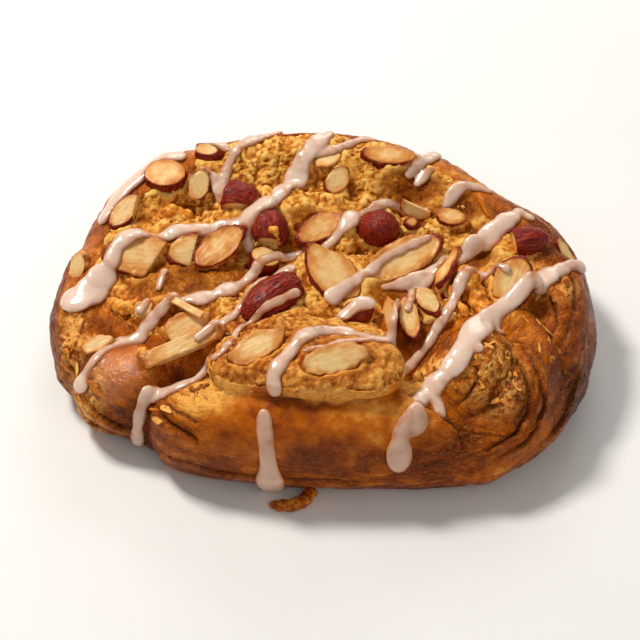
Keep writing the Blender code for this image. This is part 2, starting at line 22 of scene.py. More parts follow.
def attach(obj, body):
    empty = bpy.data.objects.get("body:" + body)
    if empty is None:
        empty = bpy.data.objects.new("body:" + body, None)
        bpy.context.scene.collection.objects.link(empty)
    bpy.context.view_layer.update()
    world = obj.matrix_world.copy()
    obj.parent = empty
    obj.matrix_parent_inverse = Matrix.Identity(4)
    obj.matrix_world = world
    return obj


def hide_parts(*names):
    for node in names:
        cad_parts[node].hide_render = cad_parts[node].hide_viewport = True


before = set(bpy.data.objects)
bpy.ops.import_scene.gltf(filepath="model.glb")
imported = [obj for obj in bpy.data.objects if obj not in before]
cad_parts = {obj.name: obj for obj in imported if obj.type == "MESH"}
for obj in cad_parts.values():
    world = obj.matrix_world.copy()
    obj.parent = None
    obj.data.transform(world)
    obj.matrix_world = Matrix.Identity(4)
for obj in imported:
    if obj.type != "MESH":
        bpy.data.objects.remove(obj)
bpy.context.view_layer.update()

LOG = logging.getLogger("bear_claw")
MM = 0.001
SHEET_MIDDLE = Vector((0.8, 2.0, 0.0))
UP = Vector((0.0, 0.0, 1.0))

# Height over the sheet, and distance in front of it, from which points are dropped onto the pastry, in mm.
OVERHEAD = 100.0

Piece = bpy.types.Object
Socket = bpy.types.NodeSocket
BMesh = bmesh.types.BMesh
Triple = tuple[float, float, float]
Colour = tuple[float, float, float, float]
Station = tuple[Triple, float, float]
Patch = tuple[float, float, float, float]
Route = list[Triple]
Field = np.ndarray


class Slot(Enum):
    """Material slots of the record."""

    DOUGH = "baked_dough"
    FILLING = "filling"
    ALMOND = "almond"
    SKIN = "almond_skin"


class Sight(Enum):
    """Which way an icing strand is dropped onto the pastry."""

    FROM_ABOVE = "above"
    FROM_FRONT = "front"


# The dough's rolls: points along the middle of each, then its half width and half height there.
ROLLS: dict[str, list[Station]] = {
    "front_flap": [
        ((-35, -36.5, 12), 12, 14),
        ((-20, -39, 14), 13.5, 17),
        ((4, -40.5, 14.5), 14, 17.5),
        ((24, -40.5, 12.5), 13.5, 15.5),
        ((36, -41, 10), 12, 12),
    ],
    "front_left_bun": [((-57, -23, 12), 11.5, 13.5), ((-50, -25, 13), 12.5, 14.5)],
    "left_side": [((-64, -13, 12), 10.5, 13), ((-65, -1, 14), 11.5, 14), ((-62, 12, 15), 12.5, 15)],
    "left_back": [((-59, 16, 14), 12.5, 16), ((-52, 31, 17.5), 13, 18.5), ((-43, 39.5, 19), 14, 20)],
    "back": [
        ((-36, 41, 18.5), 14.5, 20.5),
        ((-18, 44, 20), 14.5, 21.5),
        ((2, 45, 20.5), 14.5, 21.5),
        ((20, 42, 20), 15, 20.5),
    ],
    "right_back": [
        ((31, 40, 18.5), 14, 19),
        ((44, 31, 17), 14, 17.5),
        ((57, 22, 16), 14, 16),
        ((64, 12, 15), 12.5, 15),
    ],
    "right_side": [((65, 8, 14), 12.5, 14.5), ((66, -5, 13), 12, 14), ((63, -18, 12), 12, 13)],
    "right_front": [((61, -22, 11), 11.5, 12.5), ((53, -33, 10.5), 12, 11.5), ((42, -40, 11), 13, 12)],
    "claw_inner": [((42, -24, 19), 13, 14), ((36, -32, 17), 12, 14)],
    "claw_outer": [
        ((50, -8, 21), 8, 10),
        ((58, -17, 19), 8, 11),
        ((57, -29, 16), 8, 12),
        ((48, -39, 12), 8, 11),
    ],
    "sole_left": [
        ((0, 36, 5), 13, 7.5),
        ((-36, 30, 5), 13, 7.5),
        ((-51, 12, 5), 13, 7.5),
        ((-52, -12, 5), 13, 7.5),
        ((-34, -30, 5), 13, 7.5),
        ((0, -36, 5), 13, 7.5),
    ],
    "sole_right": [
        ((0, 36, 5), 13, 7.5),
        ((34, 32, 5), 13, 7.5),
        ((53, 12, 5), 13, 7.5),
        ((54, -14, 5), 13, 7.5),
        ((36, -34, 5), 13, 7.5),
        ((0, -36, 5), 13, 7.5),
    ],
}

# Mounds inside the ring of rolls: middle, then half sizes.
MOUNDS: list[tuple[Triple, Triple]] = [
    ((0, 0, 14), (60, 40, 16)),
    ((0, 0, 8), (64, 44, 11)),
    ((-34, 4, 14), (32, 34, 16)),
    ((34, -1, 14), (30, 32, 16.5)),
    ((-8, 28, 24), (32, 17, 12.5)),
    ((16, 2, 23), (18, 11, 9.5)),
    ((-42, 20, 22), (17, 13, 11)),
    ((-52, -1, 18), (15, 18, 11)),
    ((34, 22, 20), (20, 14, 11)),
    ((50, 2, 19), (14, 17, 12)),
    ((-5, -33, 26), (25, 12, 7.5)),
    ((-3, -23, 24), (25, 13, 11)),
]

# Where the filling is: blobs, each with all that is over it, and the ridge that stands out at the front.
FILLING: list[tuple[Triple, Triple]] = [
    ((0, 17, 29), (50, 30, 13)),
    ((-38, 8, 27), (25, 25, 12)),
    ((34, 7, 28), (24, 21, 12)),
    ((-5, 36, 34), (32, 15, 13)),
    ((-4, -22, 29), (25, 13, 9)),
]
NUB: list[Station] = [((-21, -32, 32), 9, 5.5), ((-4, -34.5, 34), 10, 5.5), ((13, -34.5, 33.5), 10, 5.5)]

# Cut almonds: length, width and thickness, the layer cut from it, upright cuts, place, and turns.
WHOLE = (-99.0, 99.0)
Almond = tuple[Triple, tuple[float, float], list[tuple[float, float]], Triple, Triple]
ALMONDS: dict[str, Almond] = {
    "half_upright_left": ((24, 12, 10), WHOLE, [(0, 0.5)], (-44.3, 34.8, 39.5), (90, 97, 0)),
    "slice_upright_left": ((10, 6.5, 8), (-0.9, 0.9), [], (-34.7, 32.3, 37.6), (70, 38, 14)),
    "wedge_left_back": ((13.5, 7, 8), (-1.5, 1.5), [(-60, 2.5)], (-55.0, 25.0, 34.0), (45, 25, -12)),
    "slice_left_rim": ((9, 6, 7), (-0.9, 0.9), [], (-68.0, 9.5, 27.6), (72, 40, -35)),
    "slice_left_square": ((24, 12.5, 10), (-1.4, 1.4), [(-28, 3.6)], (-49.5, 9.5, 31.2), (-4, 26, 0)),
    "slice_left_middle": ((20, 10.5, 9), (-1.4, 1.4), [(-15, -1.4), (165, 8.2)],
                          (-34.0, 12.0, 30.6), (2, 30, 6)),
    "slice_left_oval": ((18.5, 9.5, 10), (-1.5, 1.5), [], (-28.0, 11.3, 33.2), (42, 22, 2)),
    "chunk_dark_left": ((15.5, 10.5, 9), WHOLE, [(180, 4), (-80, 3.5), (-20, 5)],
                        (-23.2, 28.8, 35.3), (-18, 12, 0)),
    "half_dark_back": ((15, 10.5, 9.5), (-2.5, 9), [(155, 5.0)], (-14.6, 18.6, 34.0), (106, 18, 0)),
    "chunk_light_middle": ((20, 8.5, 7.5), WHOLE, [(0, 0.5)], (-15.4, 8.6, 31.8), (72, 88, 0)),
    "slice_middle_back": ((16, 8, 8), (-1.4, 1.4), [], (0.0, 18.5, 33.3), (33, 25, 0)),
    "wedge_middle": ((22, 13, 12), (-2.4, 1.5), [(155, 8.5), (-60, 5.5)], (3.2, 1.8, 32.8), (126, 24, 8)),
    "rounded_middle": ((9.5, 7.5, 7), WHOLE, [], (10.6, -11.4, 30.4), (20, 10, 0)),
    "whole_middle": ((18, 12.5, 11), WHOLE, [], (16.5, 20.0, 31.5), (90, -47, 0)),
    "slice_large_right": ((25, 11, 11), (-1.4, 1.4), [], (24.0, 8.0, 32.2), (29, 22, 4)),
    "slice_back_right": ((17, 6.5, 9), (-1.4, 1.4), [], (20.0, 41.0, 40.0), (-3, 15, 4)),
    "chip_curl_back": ((8.5, 6, 7), (-0.8, 0.8), [], (2.2, 40.0, 40.0), (20, 10, 0)),
    "chip_back": ((9.5, 6.5, 7), (-0.9, 0.9), [], (5.0, 34.0, 37.6), (50, 30, 10)),
    "skin_curl_back": ((10.5, 6, 7), (-0.9, 0.9), [(90, 1)], (27.4, 26.4, 33.6), (-26, 66, 0)),
    "chunk_back": ((5.2, 4, 4), (-1.4, 1.4), [], (26.2, 21.4, 32.2), (-8, 15, 0)),
    "slice_right_back": ((9.5, 5.8, 7), (-1.0, 1.0), [], (37.5, 23.0, 33.2), (-12, 18, 0)),
    "chunk_rough_right": ((13, 9, 8), WHOLE, [(180, 4), (70, 3)], (58.5, 15.2, 31.8), (14, 0, 0)),
    "wedge_right": ((17, 12.5, 11), (-2.6, 1.7), [(180, 6), (110, 5)], (53.2, -1.8, 32.4), (64, 28, -4)),
    "slice_standing_right": ((15, 7, 8), (-1.0, 1.0), [], (35.8, 2.4, 34.0), (52, -20, -44)),
    "slice_leaning_right": ((12, 6, 7), (-0.9, 0.9), [(90, 1)], (38.4, -1.6, 31.4), (44, 30, 8)),
    "chip_right": ((10.5, 6, 7), (-1.2, 1.2), [(150, 4)], (29.6, -9.0, 32.4), (-56, 20, 0)),
    "slice_low_right": ((14.5, 6, 7.5), (-1.0, 1.0), [], (24.2, -13.5, 31.0), (100, 12, 0)),
    "slice_edge_right": ((15.5, 6.5, 7), (-0.8, 0.8), [(90, 2)], (19.2, -12.6, 31.2), (97, -6, -62)),
    "slice_nub_left": ((17.5, 8, 8), (-1.0, 1.0), [], (-16.5, -30.5, 37.6), (31, 24, 0)),
    "slice_nub_right": ((19, 8.5, 9), (-1.3, 1.3), [], (4.4, -36.0, 38.8), (14, 32, 0)),
    "stick_left": ((26, 12, 9), (-2.0, 2.0), [(90, 2.3), (-90, 2.3), (180, 11.6)],
                   (-37.5, -22.5, 28.6), (24, 24, 0)),
    "slice_behind_stick": ((16, 8.5, 9), (-1.1, 1.1), [(180, 5)], (-37.0, -15.3, 28.2), (27, 24, 0)),
    "splinter_left": ((26, 12, 9), (-0.7, 0.7), [(90, 1.1), (-90, 1.1), (0, 6), (180, 6)],
                      (-37.2, -10.6, 32.2), (-34, 12, 0)),
    "slice_left_low": ((9.5, 5, 7), (-0.9, 0.9), [], (-61.0, -18.0, 24.8), (20, 22, -10)),
    "chip_left": ((6.5, 4.8, 6), (-0.8, 0.8), [], (-48.7, -9.2, 28.9), (38, 25, 0)),
    "broken_dark_middle": ((22.5, 11.5, 10), (-2.5, 9), [(-10, 7.6)], (-12.2, -5.8, 31.0), (37, 16, 0)),
    "chunk_back_left": ((10, 5.2, 6), (-1.8, 1.8), [(180, 3.5)], (-32.5, 43.2, 39.6), (-6, 10, 0)),
    "slice_right_rim": ((8.5, 4.6, 7), (-0.8, 0.8), [], (69.4, 16.2, 26.6), (-38, 10, 40)),
}
BARE_ALMONDS = ("slice_nub_left", "slice_nub_right", "stick_left", "splinter_left", "chip_left",
                "slice_left_low", "chip_curl_back", "slice_behind_stick")

# Strands of icing seen from above: the points they pass over, each with the strand's half width.
ICING: dict[str, Route] = {
    "left_loop": [(-69, -4, 3.0), (-64.5, -2, 4.2), (-61, 3, 3.3), (-58.5, 7, 2.2), (-56.5, 11.5, 2.1),
                  (-52.5, 14.5, 2.5), (-46, 15.5, 2.0), (-40, 17.5, 2.0), (-32.5, 18.5, 2.3),
                  (-27, 20.5, 2.1), (-23, 19.5, 1.8)],
    "back_long": [(-20, 13.5, 1.2), (-20.5, 17, 1.7), (-20, 20.5, 3.1), (-16, 23.5, 2.7),
                  (-12.5, 27.5, 2.2), (-9.5, 31.5, 2.7), (-7, 35.5, 3.0), (-4, 40.5, 2.5),
                  (-1, 44.5, 2.3), (2.5, 48.5, 2.0)],
    "back_branch": [(-1, 41, 1.4), (4, 42.5, 1.4), (9, 46, 1.2), (12, 48.5, 1.1), (16.5, 48.5, 0.9)],
    "left_rim": [(-61.5, 25, 2.2), (-57, 31.5, 2.8), (-52, 36.5, 3.0), (-47, 40.5, 2.9), (-41, 43, 2.4)],
    "back_web": [(-33.5, 36, 1.3), (-31, 35.5, 2.0), (-28.8, 34, 2.3), (-28.3, 31.5, 1.7),
                 (-28, 29.5, 1.1)],
    "back_left": [(-28.6, 33, 2.0), (-27.6, 36.5, 1.7), (-26, 39.5, 1.4), (-24, 42.5, 1.5),
                  (-20.5, 46, 1.8), (-16, 49.5, 1.7), (-12, 52, 1.1)],
    "back_left_drop": [(-31, 45, 1.4), (-28.8, 45.3, 1.8), (-27, 44, 1.4)],
    "left_long": [(-65, -28.5, 2.2), (-63.5, -26, 1.5), (-61, -23, 1.4), (-58, -19.5, 1.7),
                  (-54, -17, 2.1), (-50, -16, 2.1), (-47.5, -13, 1.9), (-44.5, -10.5, 1.7),
                  (-41, -8, 1.4), (-38.5, -5.5, 1.5), (-32.5, -4.5, 2.0), (-27, -2.5, 2.2),
                  (-23, 0.5, 1.8), (-19, 4, 1.5), (-14.5, 8, 1.5), (-10, 11, 1.7), (-5.5, 12.5, 1.4)],
    "middle_back": [(1.5, 13.5, 1.8), (6, 17, 2.0), (9.5, 21, 2.2), (13, 25, 2.1), (17, 28, 1.8),
                    (22, 30, 1.7), (26, 30, 1.6), (30, 28.5, 1.6), (31.5, 27, 1.2)],
    "middle_left": [(-26.5, -14, 1.4), (-23.5, -11, 1.5), (-21, -7, 1.4), (-18, -3.5, 1.4),
                    (-15, -1, 1.4), (-12, 3, 1.4), (-8.5, 4.5, 1.7)],
    "nub_side": [(-32, -25, 1.0), (-28, -31.5, 1.2), (-24.5, -28, 1.1), (-22.5, -17.5, 1.0),
                 (-19, -14.5, 1.0), (-15, -12, 1.2), (-11, -10, 1.3), (-6.5, -7, 1.2)],
    "nub_long": [(-12, -42.5, 2.3), (-12, -40, 2.0), (-9.5, -36, 1.9), (-6, -31, 1.9),
                 (-2.5, -26, 1.9), (2, -23, 1.9), (7, -23, 1.9), (11, -26, 1.6), (15, -28, 1.5),
                 (18, -26, 1.5)],
    "nub_right": [(18, -26, 1.6), (19.5, -20, 1.2), (20.5, -13, 1.1), (21.5, -5, 1.0)],
    "nub_under": [(-4, -34, 0.7), (0, -32.3, 1.1), (5, -29.8, 1.2), (10.8, -29, 1.1), (17.7, -28.4, 1.2)],
    "wedge_strand": [(3.5, -6, 2.3), (8, -2, 2.0), (12.8, 1.2, 1.7), (16, 4.5, 1.5), (19, 7.2, 1.4),
                     (23.3, 9.4, 1.4), (27.5, 11.4, 1.3), (30.5, 13, 0.9)],
    "middle_drop": [(5.5, -14.5, 1.6), (8, -13.2, 2.1), (11, -11.5, 2.6), (13.5, -10.3, 2.1)],
    "right_wide": [(17.8, -2.2, 1.0), (25, 0.2, 1.7), (32.5, 5.6, 1.9), (39.3, 11, 2.1),
                   (44.4, 16, 2.7), (51.1, 21, 2.7), (55, 24, 2.1)],
    "right_inner": [(24, -12, 1.2), (25.5, -5, 1.6), (28, -1, 1.9), (32, 3.5, 1.7), (36, 8.5, 1.5),
                    (39, 13.5, 1.3)],
    "right_thin": [(17.7, -28.4, 1.6), (22.8, -27.5, 1.4), (25.6, -24.2, 1.3), (29.4, -20, 1.5),
                   (32.3, -15.3, 1.4), (35.8, -10.5, 1.4), (39.2, -3, 1.5), (44.4, 2.7, 1.6),
                   (48, 2.7, 1.4), (51.5, 0.2, 1.3)],
    "right_long": [(74, 11, 1.8), (71, 9.5, 2.0), (67, 6.5, 2.0), (63.5, 4.5, 2.6), (61.5, 1, 2.5),
                   (58, -2.5, 2.3), (52.5, -8, 2.3), (47.5, -12, 2.7), (43.5, -18, 3.2),
                   (39.5, -25, 2.7), (37, -30, 3.1), (34, -33.5, 2.5), (30.5, -36, 2.5),
                   (28, -38.5, 2.2), (25.5, -42.5, 2.0)],
    "right_long_run": [(45, -15, 1.6), (49.5, -16.5, 1.2)],
    "right_long_knob": [(38.5, -26, 1.8), (42.5, -27, 1.5)],
    "right_fork": [(29, -37.5, 2.0), (31, -40, 1.6), (32, -43.5, 1.3)],
    "left_fall": [(-27.5, -30.5, 1.0), (-32, -31.5, 1.5), (-36, -33, 1.8), (-40, -34, 1.9),
                  (-43.5, -33.8, 2.1), (-46.2, -33.2, 1.8)],
    "back_drop": [(25.5, 37, 1.2), (28, 40.5, 2.2), (31, 44, 2.4), (33, 46, 2.0)],
    "right_back_hook": [(36, 28, 1.6), (37.5, 30, 1.7), (39.5, 32, 1.7), (42.5, 33.5, 1.6),
                        (46, 34, 1.3), (49, 33.5, 1.0)],
    "right_back_drop": [(57, 26.5, 1.8), (60, 25, 1.4)],
    "back_drop_thin": [(28, 35, 1.1), (30, 37, 1.5), (32, 38.5, 1.2)],
    "stick_drop": [(-33, -21.5, 1.3), (-30.5, -19.5, 1.7), (-28.5, -17.5, 1.4)],
    "left_drop": [(-43.5, 4, 1.4), (-44.8, -1.5, 1.0)],
    "left_drop_low": [(-49.5, -10, 1.3), (-47.8, -7.5, 1.1)],
}

# Drips down the front: across, above the base, and the drip's half width.
DRIPS: dict[str, Route] = {
    "drip_right": [(25, 29, 1.8), (23, 27, 2.0), (21.5, 25, 2.4), (21, 22, 2.7), (21, 17, 2.7)],
    "drop_right": [(25.5, 29, 2.0), (25.7, 26.5, 2.6), (24.5, 25, 2.4)],
    "drip_middle": [(-14.7, 29, 2.0), (-14.5, 26, 2.1), (-14, 21, 2.3), (-13.6, 15, 2.7),
                    (-13.2, 6, 3.2), (-13, 2.5, 3.2)],
    "drip_left": [(-46.5, 23, 1.7), (-48, 20, 1.7), (-49.2, 15, 1.7), (-50, 9, 1.8), (-50.2, 4, 1.8)],
}


@dataclass(frozen=True)
class SheetEdge:
    """The free edge of a sheet of dough that lies on another.

    Attributes:
        points: The edge's route on the surface, in mm. The sheet lies on its left as seen from outside.
        rise: How far the sheet stands above the one beneath.
        reach: How far back from its edge the sheet stays lifted.
        crease: How deep the shadowed crease along its edge goes.
    """

    points: Route
    rise: float
    reach: float
    crease: float


SHEET_EDGES: dict[str, SheetEdge] = {
    "flap_right": SheetEdge(
        [(37.5, -50.3, 17.6), (37, -48.1, 20), (35.4, -46.1, 22.1), (30.3, -43.9, 25.7),
         (26.7, -43, 28.7), (23.1, -40.1, 31), (18.7, -39.3, 34)],
        1.6, 5.0, 1.0),
    "claw_inner": SheetEdge(
        [(47.2, -17, 30.2), (50.1, -19.9, 28.9), (52.1, -23.2, 27.7), (54.5, -28.9, 27.2),
         (56.1, -34.5, 25.8), (56.4, -37.2, 23.6), (55.9, -39.8, 20.9), (53.6, -43.6, 18.8),
         (50, -46.9, 18.1), (43.9, -50.3, 17.6), (38.6, -51.1, 16.1)],
        1.5, 5.0, 1.2),
    "claw_outer": SheetEdge(
        [(51.5, -15, 28.9), (54.9, -21.3, 28.1), (57.5, -28.4, 27.8), (59.2, -34, 24.9),
         (59.5, -36.8, 21), (58.2, -40.9, 17.6), (54.2, -45.5, 15.6), (48.1, -50.1, 15.3),
         (42.1, -52, 14.6)],
        0.9, 2.0, 0.7),
    "claw_fold": SheetEdge(
        [(40.2, -28.3, 33), (42.8, -31.5, 30.9), (42.2, -35.8, 28.6), (38.9, -39.6, 26.4), (36, -42, 24.2)],
        1.0, 4.0, 0.9),
    "right_base": SheetEdge(
        [(71.7, -20.8, 20.5), (69.9, -27.1, 17), (67.3, -32, 13.5), (63.3, -38.8, 12.2), (58.4, -44, 11.6)],
        0.9, 4.0, 0.7),
    "right_roll": SheetEdge(
        [(67.6, 9.8, 28.7), (70.8, 4.7, 26.6), (71, -4.2, 25.8), (67.7, -14.7, 24.9), (64.1, -25.5, 24.6)],
        0.9, 5.0, 0.6),
    "right_roll_inner": SheetEdge(
        [(62.7, 0.6, 28.9), (65.5, -5.2, 26.9), (64.9, -13.7, 25.9), (61.8, -24.5, 27.6)],
        0.7, 3.0, 0.6),
    "flap_base": SheetEdge(
        [(21.3, -54, 9.8), (10.7, -54.1, 9.1), (-5.3, -53.6, 9.6), (-21.4, -51.9, 9.7),
         (-34.9, -48.8, 10.7), (-45.3, -45, 11.2)],
        0.7, 4.0, 0.5),
    "flap_left": SheetEdge(
        [(-32, -48.8, 18.4), (-34.1, -47.5, 20), (-38.4, -44.8, 20.9), (-42.9, -41, 21.4),
         (-45.9, -35.5, 20)],
        1.6, 4.0, 1.5),
    "flap_left_upper": SheetEdge(
        [(-30.2, -47.4, 23.2), (-34.6, -44.4, 23.8), (-39.6, -40.7, 23.6), (-43.5, -36.9, 23.3)],
        0.9, 2.5, 0.8),
    "bun_low": SheetEdge(
        [(-49.8, -36.8, 9), (-52.7, -36.7, 11.3), (-57.3, -35.1, 12.4), (-61.7, -33, 14.6),
         (-64.4, -30.1, 17.1)],
        1.1, 5.0, 1.0),
    "bun_lower": SheetEdge(
        [(-55.2, -33.7, 5.2), (-59.3, -33.9, 7.4), (-62.9, -32.6, 9.3), (-66, -29, 11)],
        0.8, 3.0, 0.8),
    "left_rim": SheetEdge(
        [(-70.8, -2.4, 26), (-72.4, -6.5, 23), (-72.5, -11, 21.9), (-71.3, -16.3, 20.8),
         (-68.4, -21.2, 18.9), (-64.3, -29.8, 18.4)],
        1.2, 1.6, 0.9),
}

# Smooth hollows where the filling is glazed: middle on the sheet, then half sizes.
HOLLOWS: list[Patch] = [
    (-38, 3, 12, 6.5),
    (-46, -1, 5, 4),
    (-25, 4, 6, 3.5),
    (-39.6, 17, 6, 3),
    (-3, 20, 5.5, 4),
    (-8.5, 15.8, 3.5, 3),
    (27, 33.5, 9, 3.6),
    (42.3, 27.5, 4.5, 4),
    (20, -4, 5, 5),
    (-30, -20, 6, 3),
    (44, 11, 5, 4),
]

# Where the crumb on the filling is coarse: middle on the sheet, then half sizes.
CRUMB_FIELDS: list[Patch] = [
    (-10, 40, 16, 10),
    (-6, 30, 14, 7),
    (12, 36, 12, 9),
    (-38, 26, 12, 6),
    (-56, -11, 9, 7),
    (-20, -18, 14, 6),
    (8, 10, 9, 6),
    (28, 18, 8, 5),
    (42, 32, 10, 5),
    (40, -7, 7, 7),
    (30, -22, 8, 6),
    (-24, -2, 8, 4),
]

# Where the crust has a look of its own, or painted light or painted shade: middle on the sheet, then half
# sizes.
EGG_WASHED: list[Patch] = [(0, -46, 32, 8), (-54, -25, 8, 7)]
CLAW_PATCH: list[Patch] = [(48, -30, 15, 20)]
SHINY_BUN: list[Patch] = [(-54.5, -27, 9, 7)]
# Painted light: the flap's shoulders, paler where the light catches them.
LIT_SHOULDERS: list[Patch] = [(-29, -39, 11, 6), (27, -34, 7, 6)]
# Painted shade: the right side, darker where it is turned from the light.
SHADED_RIGHT_SIDE: list[Patch] = [(68, -8, 9, 24)]
FLAP_TOP: list[Patch] = [(8, -48, 30, 5)]
UNDER_FILLING: list[Patch] = [(0, 8, 44, 26)]
FLAKY_PATCHES: list[Patch] = [
    (-29, -37, 10, 5),
    (46, -30, 8, 10),
    (-68, -12, 4, 9),
    (34, -31, 9, 5),
    (-65, -31, 6, 5),
    (27, -34, 5, 5),
    (64, 2, 7, 5),
    (58, 12, 6, 6),
]

# Where the filling has one: the ridge at the front, and the places that are toasted.
RIDGE_PATCH: list[Patch] = [(-4, -36, 25, 9)]
TOASTED_PATCHES: list[Patch] = [(-4, -34, 27, 12), (40, -5, 7, 8), (-50, -8, 12, 9), (-20, -17, 16, 5)]

# Where flakes have broken from the crust: middle on the sheet, half sizes, and how many stand there.
FLAKE_FIELDS: list[tuple[float, float, float, float, int]] = [
    (46, -30, 8, 9, 46),
    (35, -31, 7, 5, 18),
    (-66, -14, 5, 10, 16),
    (-64, -31, 5, 4, 10),
    (-30, -36, 8, 4, 12),
    (-43, -40, 5, 4, 4),
    (64, 2, 6, 7, 10),
    (58, 13, 6, 5, 8),
    (62, -20, 6, 10, 8),
]

# Baked lumps and crumbs that lie on the pastry or beside it: points on the sheet, each with its half width.
MORSELS: dict[str, Route] = {
    "baked_chunk": [(39.5, 0.5, 2.2), (42, -3, 3.4), (43.5, -6.5, 3.4), (45, -10.5, 2.4)],
    "chunk_side": [(36.8, -4.5, 1.6), (37.5, -8.5, 1.8), (39.5, -12, 1.5)],
    "almond_crumb": [(-13, 13.8, 1.2), (-11.8, 12.8, 0.9)],
    "strand_chip": [(-48.3, -22.8, 0.9), (-47.2, -24.6, 1.0)],
    "left_lump": [(-57, -6, 1.7), (-54, -8.5, 2.0), (-51, -7, 1.4)],
    "back_lump": [(-45, 24, 1.3), (-41, 26, 1.8), (-37, 26.5, 1.3)],
}
FLOOR_FRAGMENT: Route = [(-12.3, -55.0, 1.3), (-9.5, -55.8, 1.8), (-6, -55.2, 1.7), (-3.4, -53.2, 1.9),
                         (-2.4, -51.4, 1.6)]


def screen_colour(red: float, green: float, blue: float) -> Colour:
    """Turns a colour as a screen shows it into the linear one that a shader takes.

    Args:
        red: Screen value from 0 to 1.
        green: Screen value from 0 to 1.
        blue: Screen value from 0 to 1.

    Returns:
        The linear colour with full alpha.
    """

    def channel(value: float) -> float:
        """Linear value of one channel."""
        return value / 12.92 if value <= 0.04045 else ((value + 0.055) / 1.055) ** 2.4

    return (channel(red), channel(green), channel(blue), 1.0)


def along(points: list[Vector], share: float) -> Vector:
    """Smooth position at a share of the way through a list of vectors, by Catmull-Rom.

    Args:
        points: Vectors of any size, at least two.
        share: From 0 at the first to 1 at the last.

    Returns:
        The blended vector.
    """
    place = share * (len(points) - 1)
    i = min(int(place), len(points) - 2)
    t = place - i
    a, b = points[i], points[i + 1]
    before = points[i - 1] if i > 0 else a * 2 - b
    after = points[i + 2] if i + 2 < len(points) else b * 2 - a
    bend = 2 * before - 5 * a + 4 * b - after
    twist = 3 * a - before - 3 * b + after
    return 0.5 * (2 * a + (b - before) * t + bend * t**2 + twist * t**3)


def route_length(rows: list[Vector], size: int) -> float:
    """Length of a route through the first few components of its rows."""
    return sum((Vector(b[:size]) - Vector(a[:size])).length for a, b in zip(rows, rows[1:]))


def stations_along(points: list[tuple[float, ...]], step: float, size: int) -> list[Vector]:
    """Even stations along a route.

    Args:
        points: Rows of the route, whose first components are a place in mm.
        step: Distance between stations in mm.
        size: How many components make up the place.

    Returns:
        The rows at the stations.
    """
    rows = [Vector(point) for point in points]
    count = max(2, math.ceil(route_length(rows, size) / step))
    return [along(rows, i / count) for i in range(count + 1)]


class Stamp:
    """A ball made once and added to meshes many times over."""

    def __init__(self, fineness: int) -> None:
        """Makes the ball, of radius 1, subdivided a number of times."""
        mesh = bmesh.new()
        bmesh.ops.create_icosphere(mesh, subdivisions=fineness, radius=1.0)
        self.shape = bpy.data.meshes.new("stamp")
        mesh.to_mesh(self.shape)
        mesh.free()

    def press(self, mesh: BMesh, place: Matrix) -> None:
        """Adds the ball to a bmesh, scaled, turned and placed by a matrix in metres."""
        shape = self.shape.copy()
        shape.transform(place)
        mesh.from_mesh(shape)
        bpy.data.meshes.remove(shape)

    def ball(self, mesh: BMesh, middle: Triple, half_sizes: Triple) -> None:
        """Adds an upright ellipsoid to a bmesh, its middle and half sizes in mm."""
        scale = Matrix.Diagonal((*(Vector(half_sizes) * MM), 1.0))
        self.press(mesh, Matrix.Translation(Vector(middle) * MM) @ scale)


def add_roll(mesh: BMesh, stamp: Stamp, stations: list[Station], step: float,
             lift: float = 0.0) -> None:
    """Adds a roll of dough as a chain of ellipsoids.

    Args:
        mesh: The bmesh that it is added to.
        stamp: The ball that it is made of.
        stations: Middle, half width and half height at points along it.
        step: Distance between ellipsoids in mm.
        lift: Height in mm that the roll is raised by.
    """
    rows = [(*spot, wide, tall) for spot, wide, tall in stations]
    for x, y, z, wide, tall in stations_along(rows, step, 3):
        stamp.ball(mesh, (x, y, z + lift), (wide, wide, tall))


def new_object(mesh: BMesh, name: str) -> Piece:
    """Turns a bmesh into a linked object, and frees the bmesh."""
    data = bpy.data.meshes.new(name)
    mesh.to_mesh(data)
    mesh.free()
    made = bpy.data.objects.new(name, data)
    bpy.context.scene.collection.objects.link(made)
    return made


def bake_modifiers(piece: Piece) -> None:
    """Replaces a piece's mesh by one with its modifiers applied."""
    bpy.context.view_layer.update()
    evaluated = piece.evaluated_get(bpy.context.evaluated_depsgraph_get())
    made = bpy.data.meshes.new_from_object(evaluated)
    piece.modifiers.clear()
    piece.data = made


def in_bmesh(piece: Piece, work: Callable[[BMesh], None]) -> None:
    """Runs work on a piece's mesh as a bmesh."""
    mesh = bmesh.new()
    mesh.from_mesh(piece.data)
    work(mesh)
    mesh.to_mesh(piece.data)
    mesh.free()


def largest_island(mesh: BMesh) -> None:
    """Deletes every island of a bmesh but the one with the most vertices."""
    unseen = set(mesh.verts)
    kept: set = set()
    while unseen:
        grown, front = set(), [next(iter(unseen))]
        while front:
            vert = front.pop()
            if vert not in grown:
                grown.add(vert)
                front.extend(edge.other_vert(vert) for edge in vert.link_edges)
        unseen -= grown
        if len(grown) > len(kept):
            kept = grown
    bmesh.ops.delete(mesh, geom=[v for v in mesh.verts if v not in kept], context="VERTS")


def fuse(piece: Piece, voxel: float, smoothing: int) -> None:
    """Makes one skin of overlapping shapes and softens it.

    Args:
        piece: The object whose mesh is fused.
        voxel: Size of a voxel in mm.
        smoothing: Rounds of smoothing.
    """
    skin = piece.modifiers.new("Skin", "REMESH")
    skin.mode = "VOXEL"
    skin.voxel_size = voxel * MM
    if smoothing:
        soft = piece.modifiers.new("Soft", "SMOOTH")
        soft.factor = 0.5
        soft.iterations = smoothing
    bake_modifiers(piece)


def combine(piece: Piece, tool: Piece, operation: str) -> None:
    """Cuts a solid from a piece, or keeps only what lies in it."""
    join = piece.modifiers.new("Join", "BOOLEAN")
    join.operation = operation
    join.object = tool
    join.solver = "MANIFOLD"
    bake_modifiers(piece)


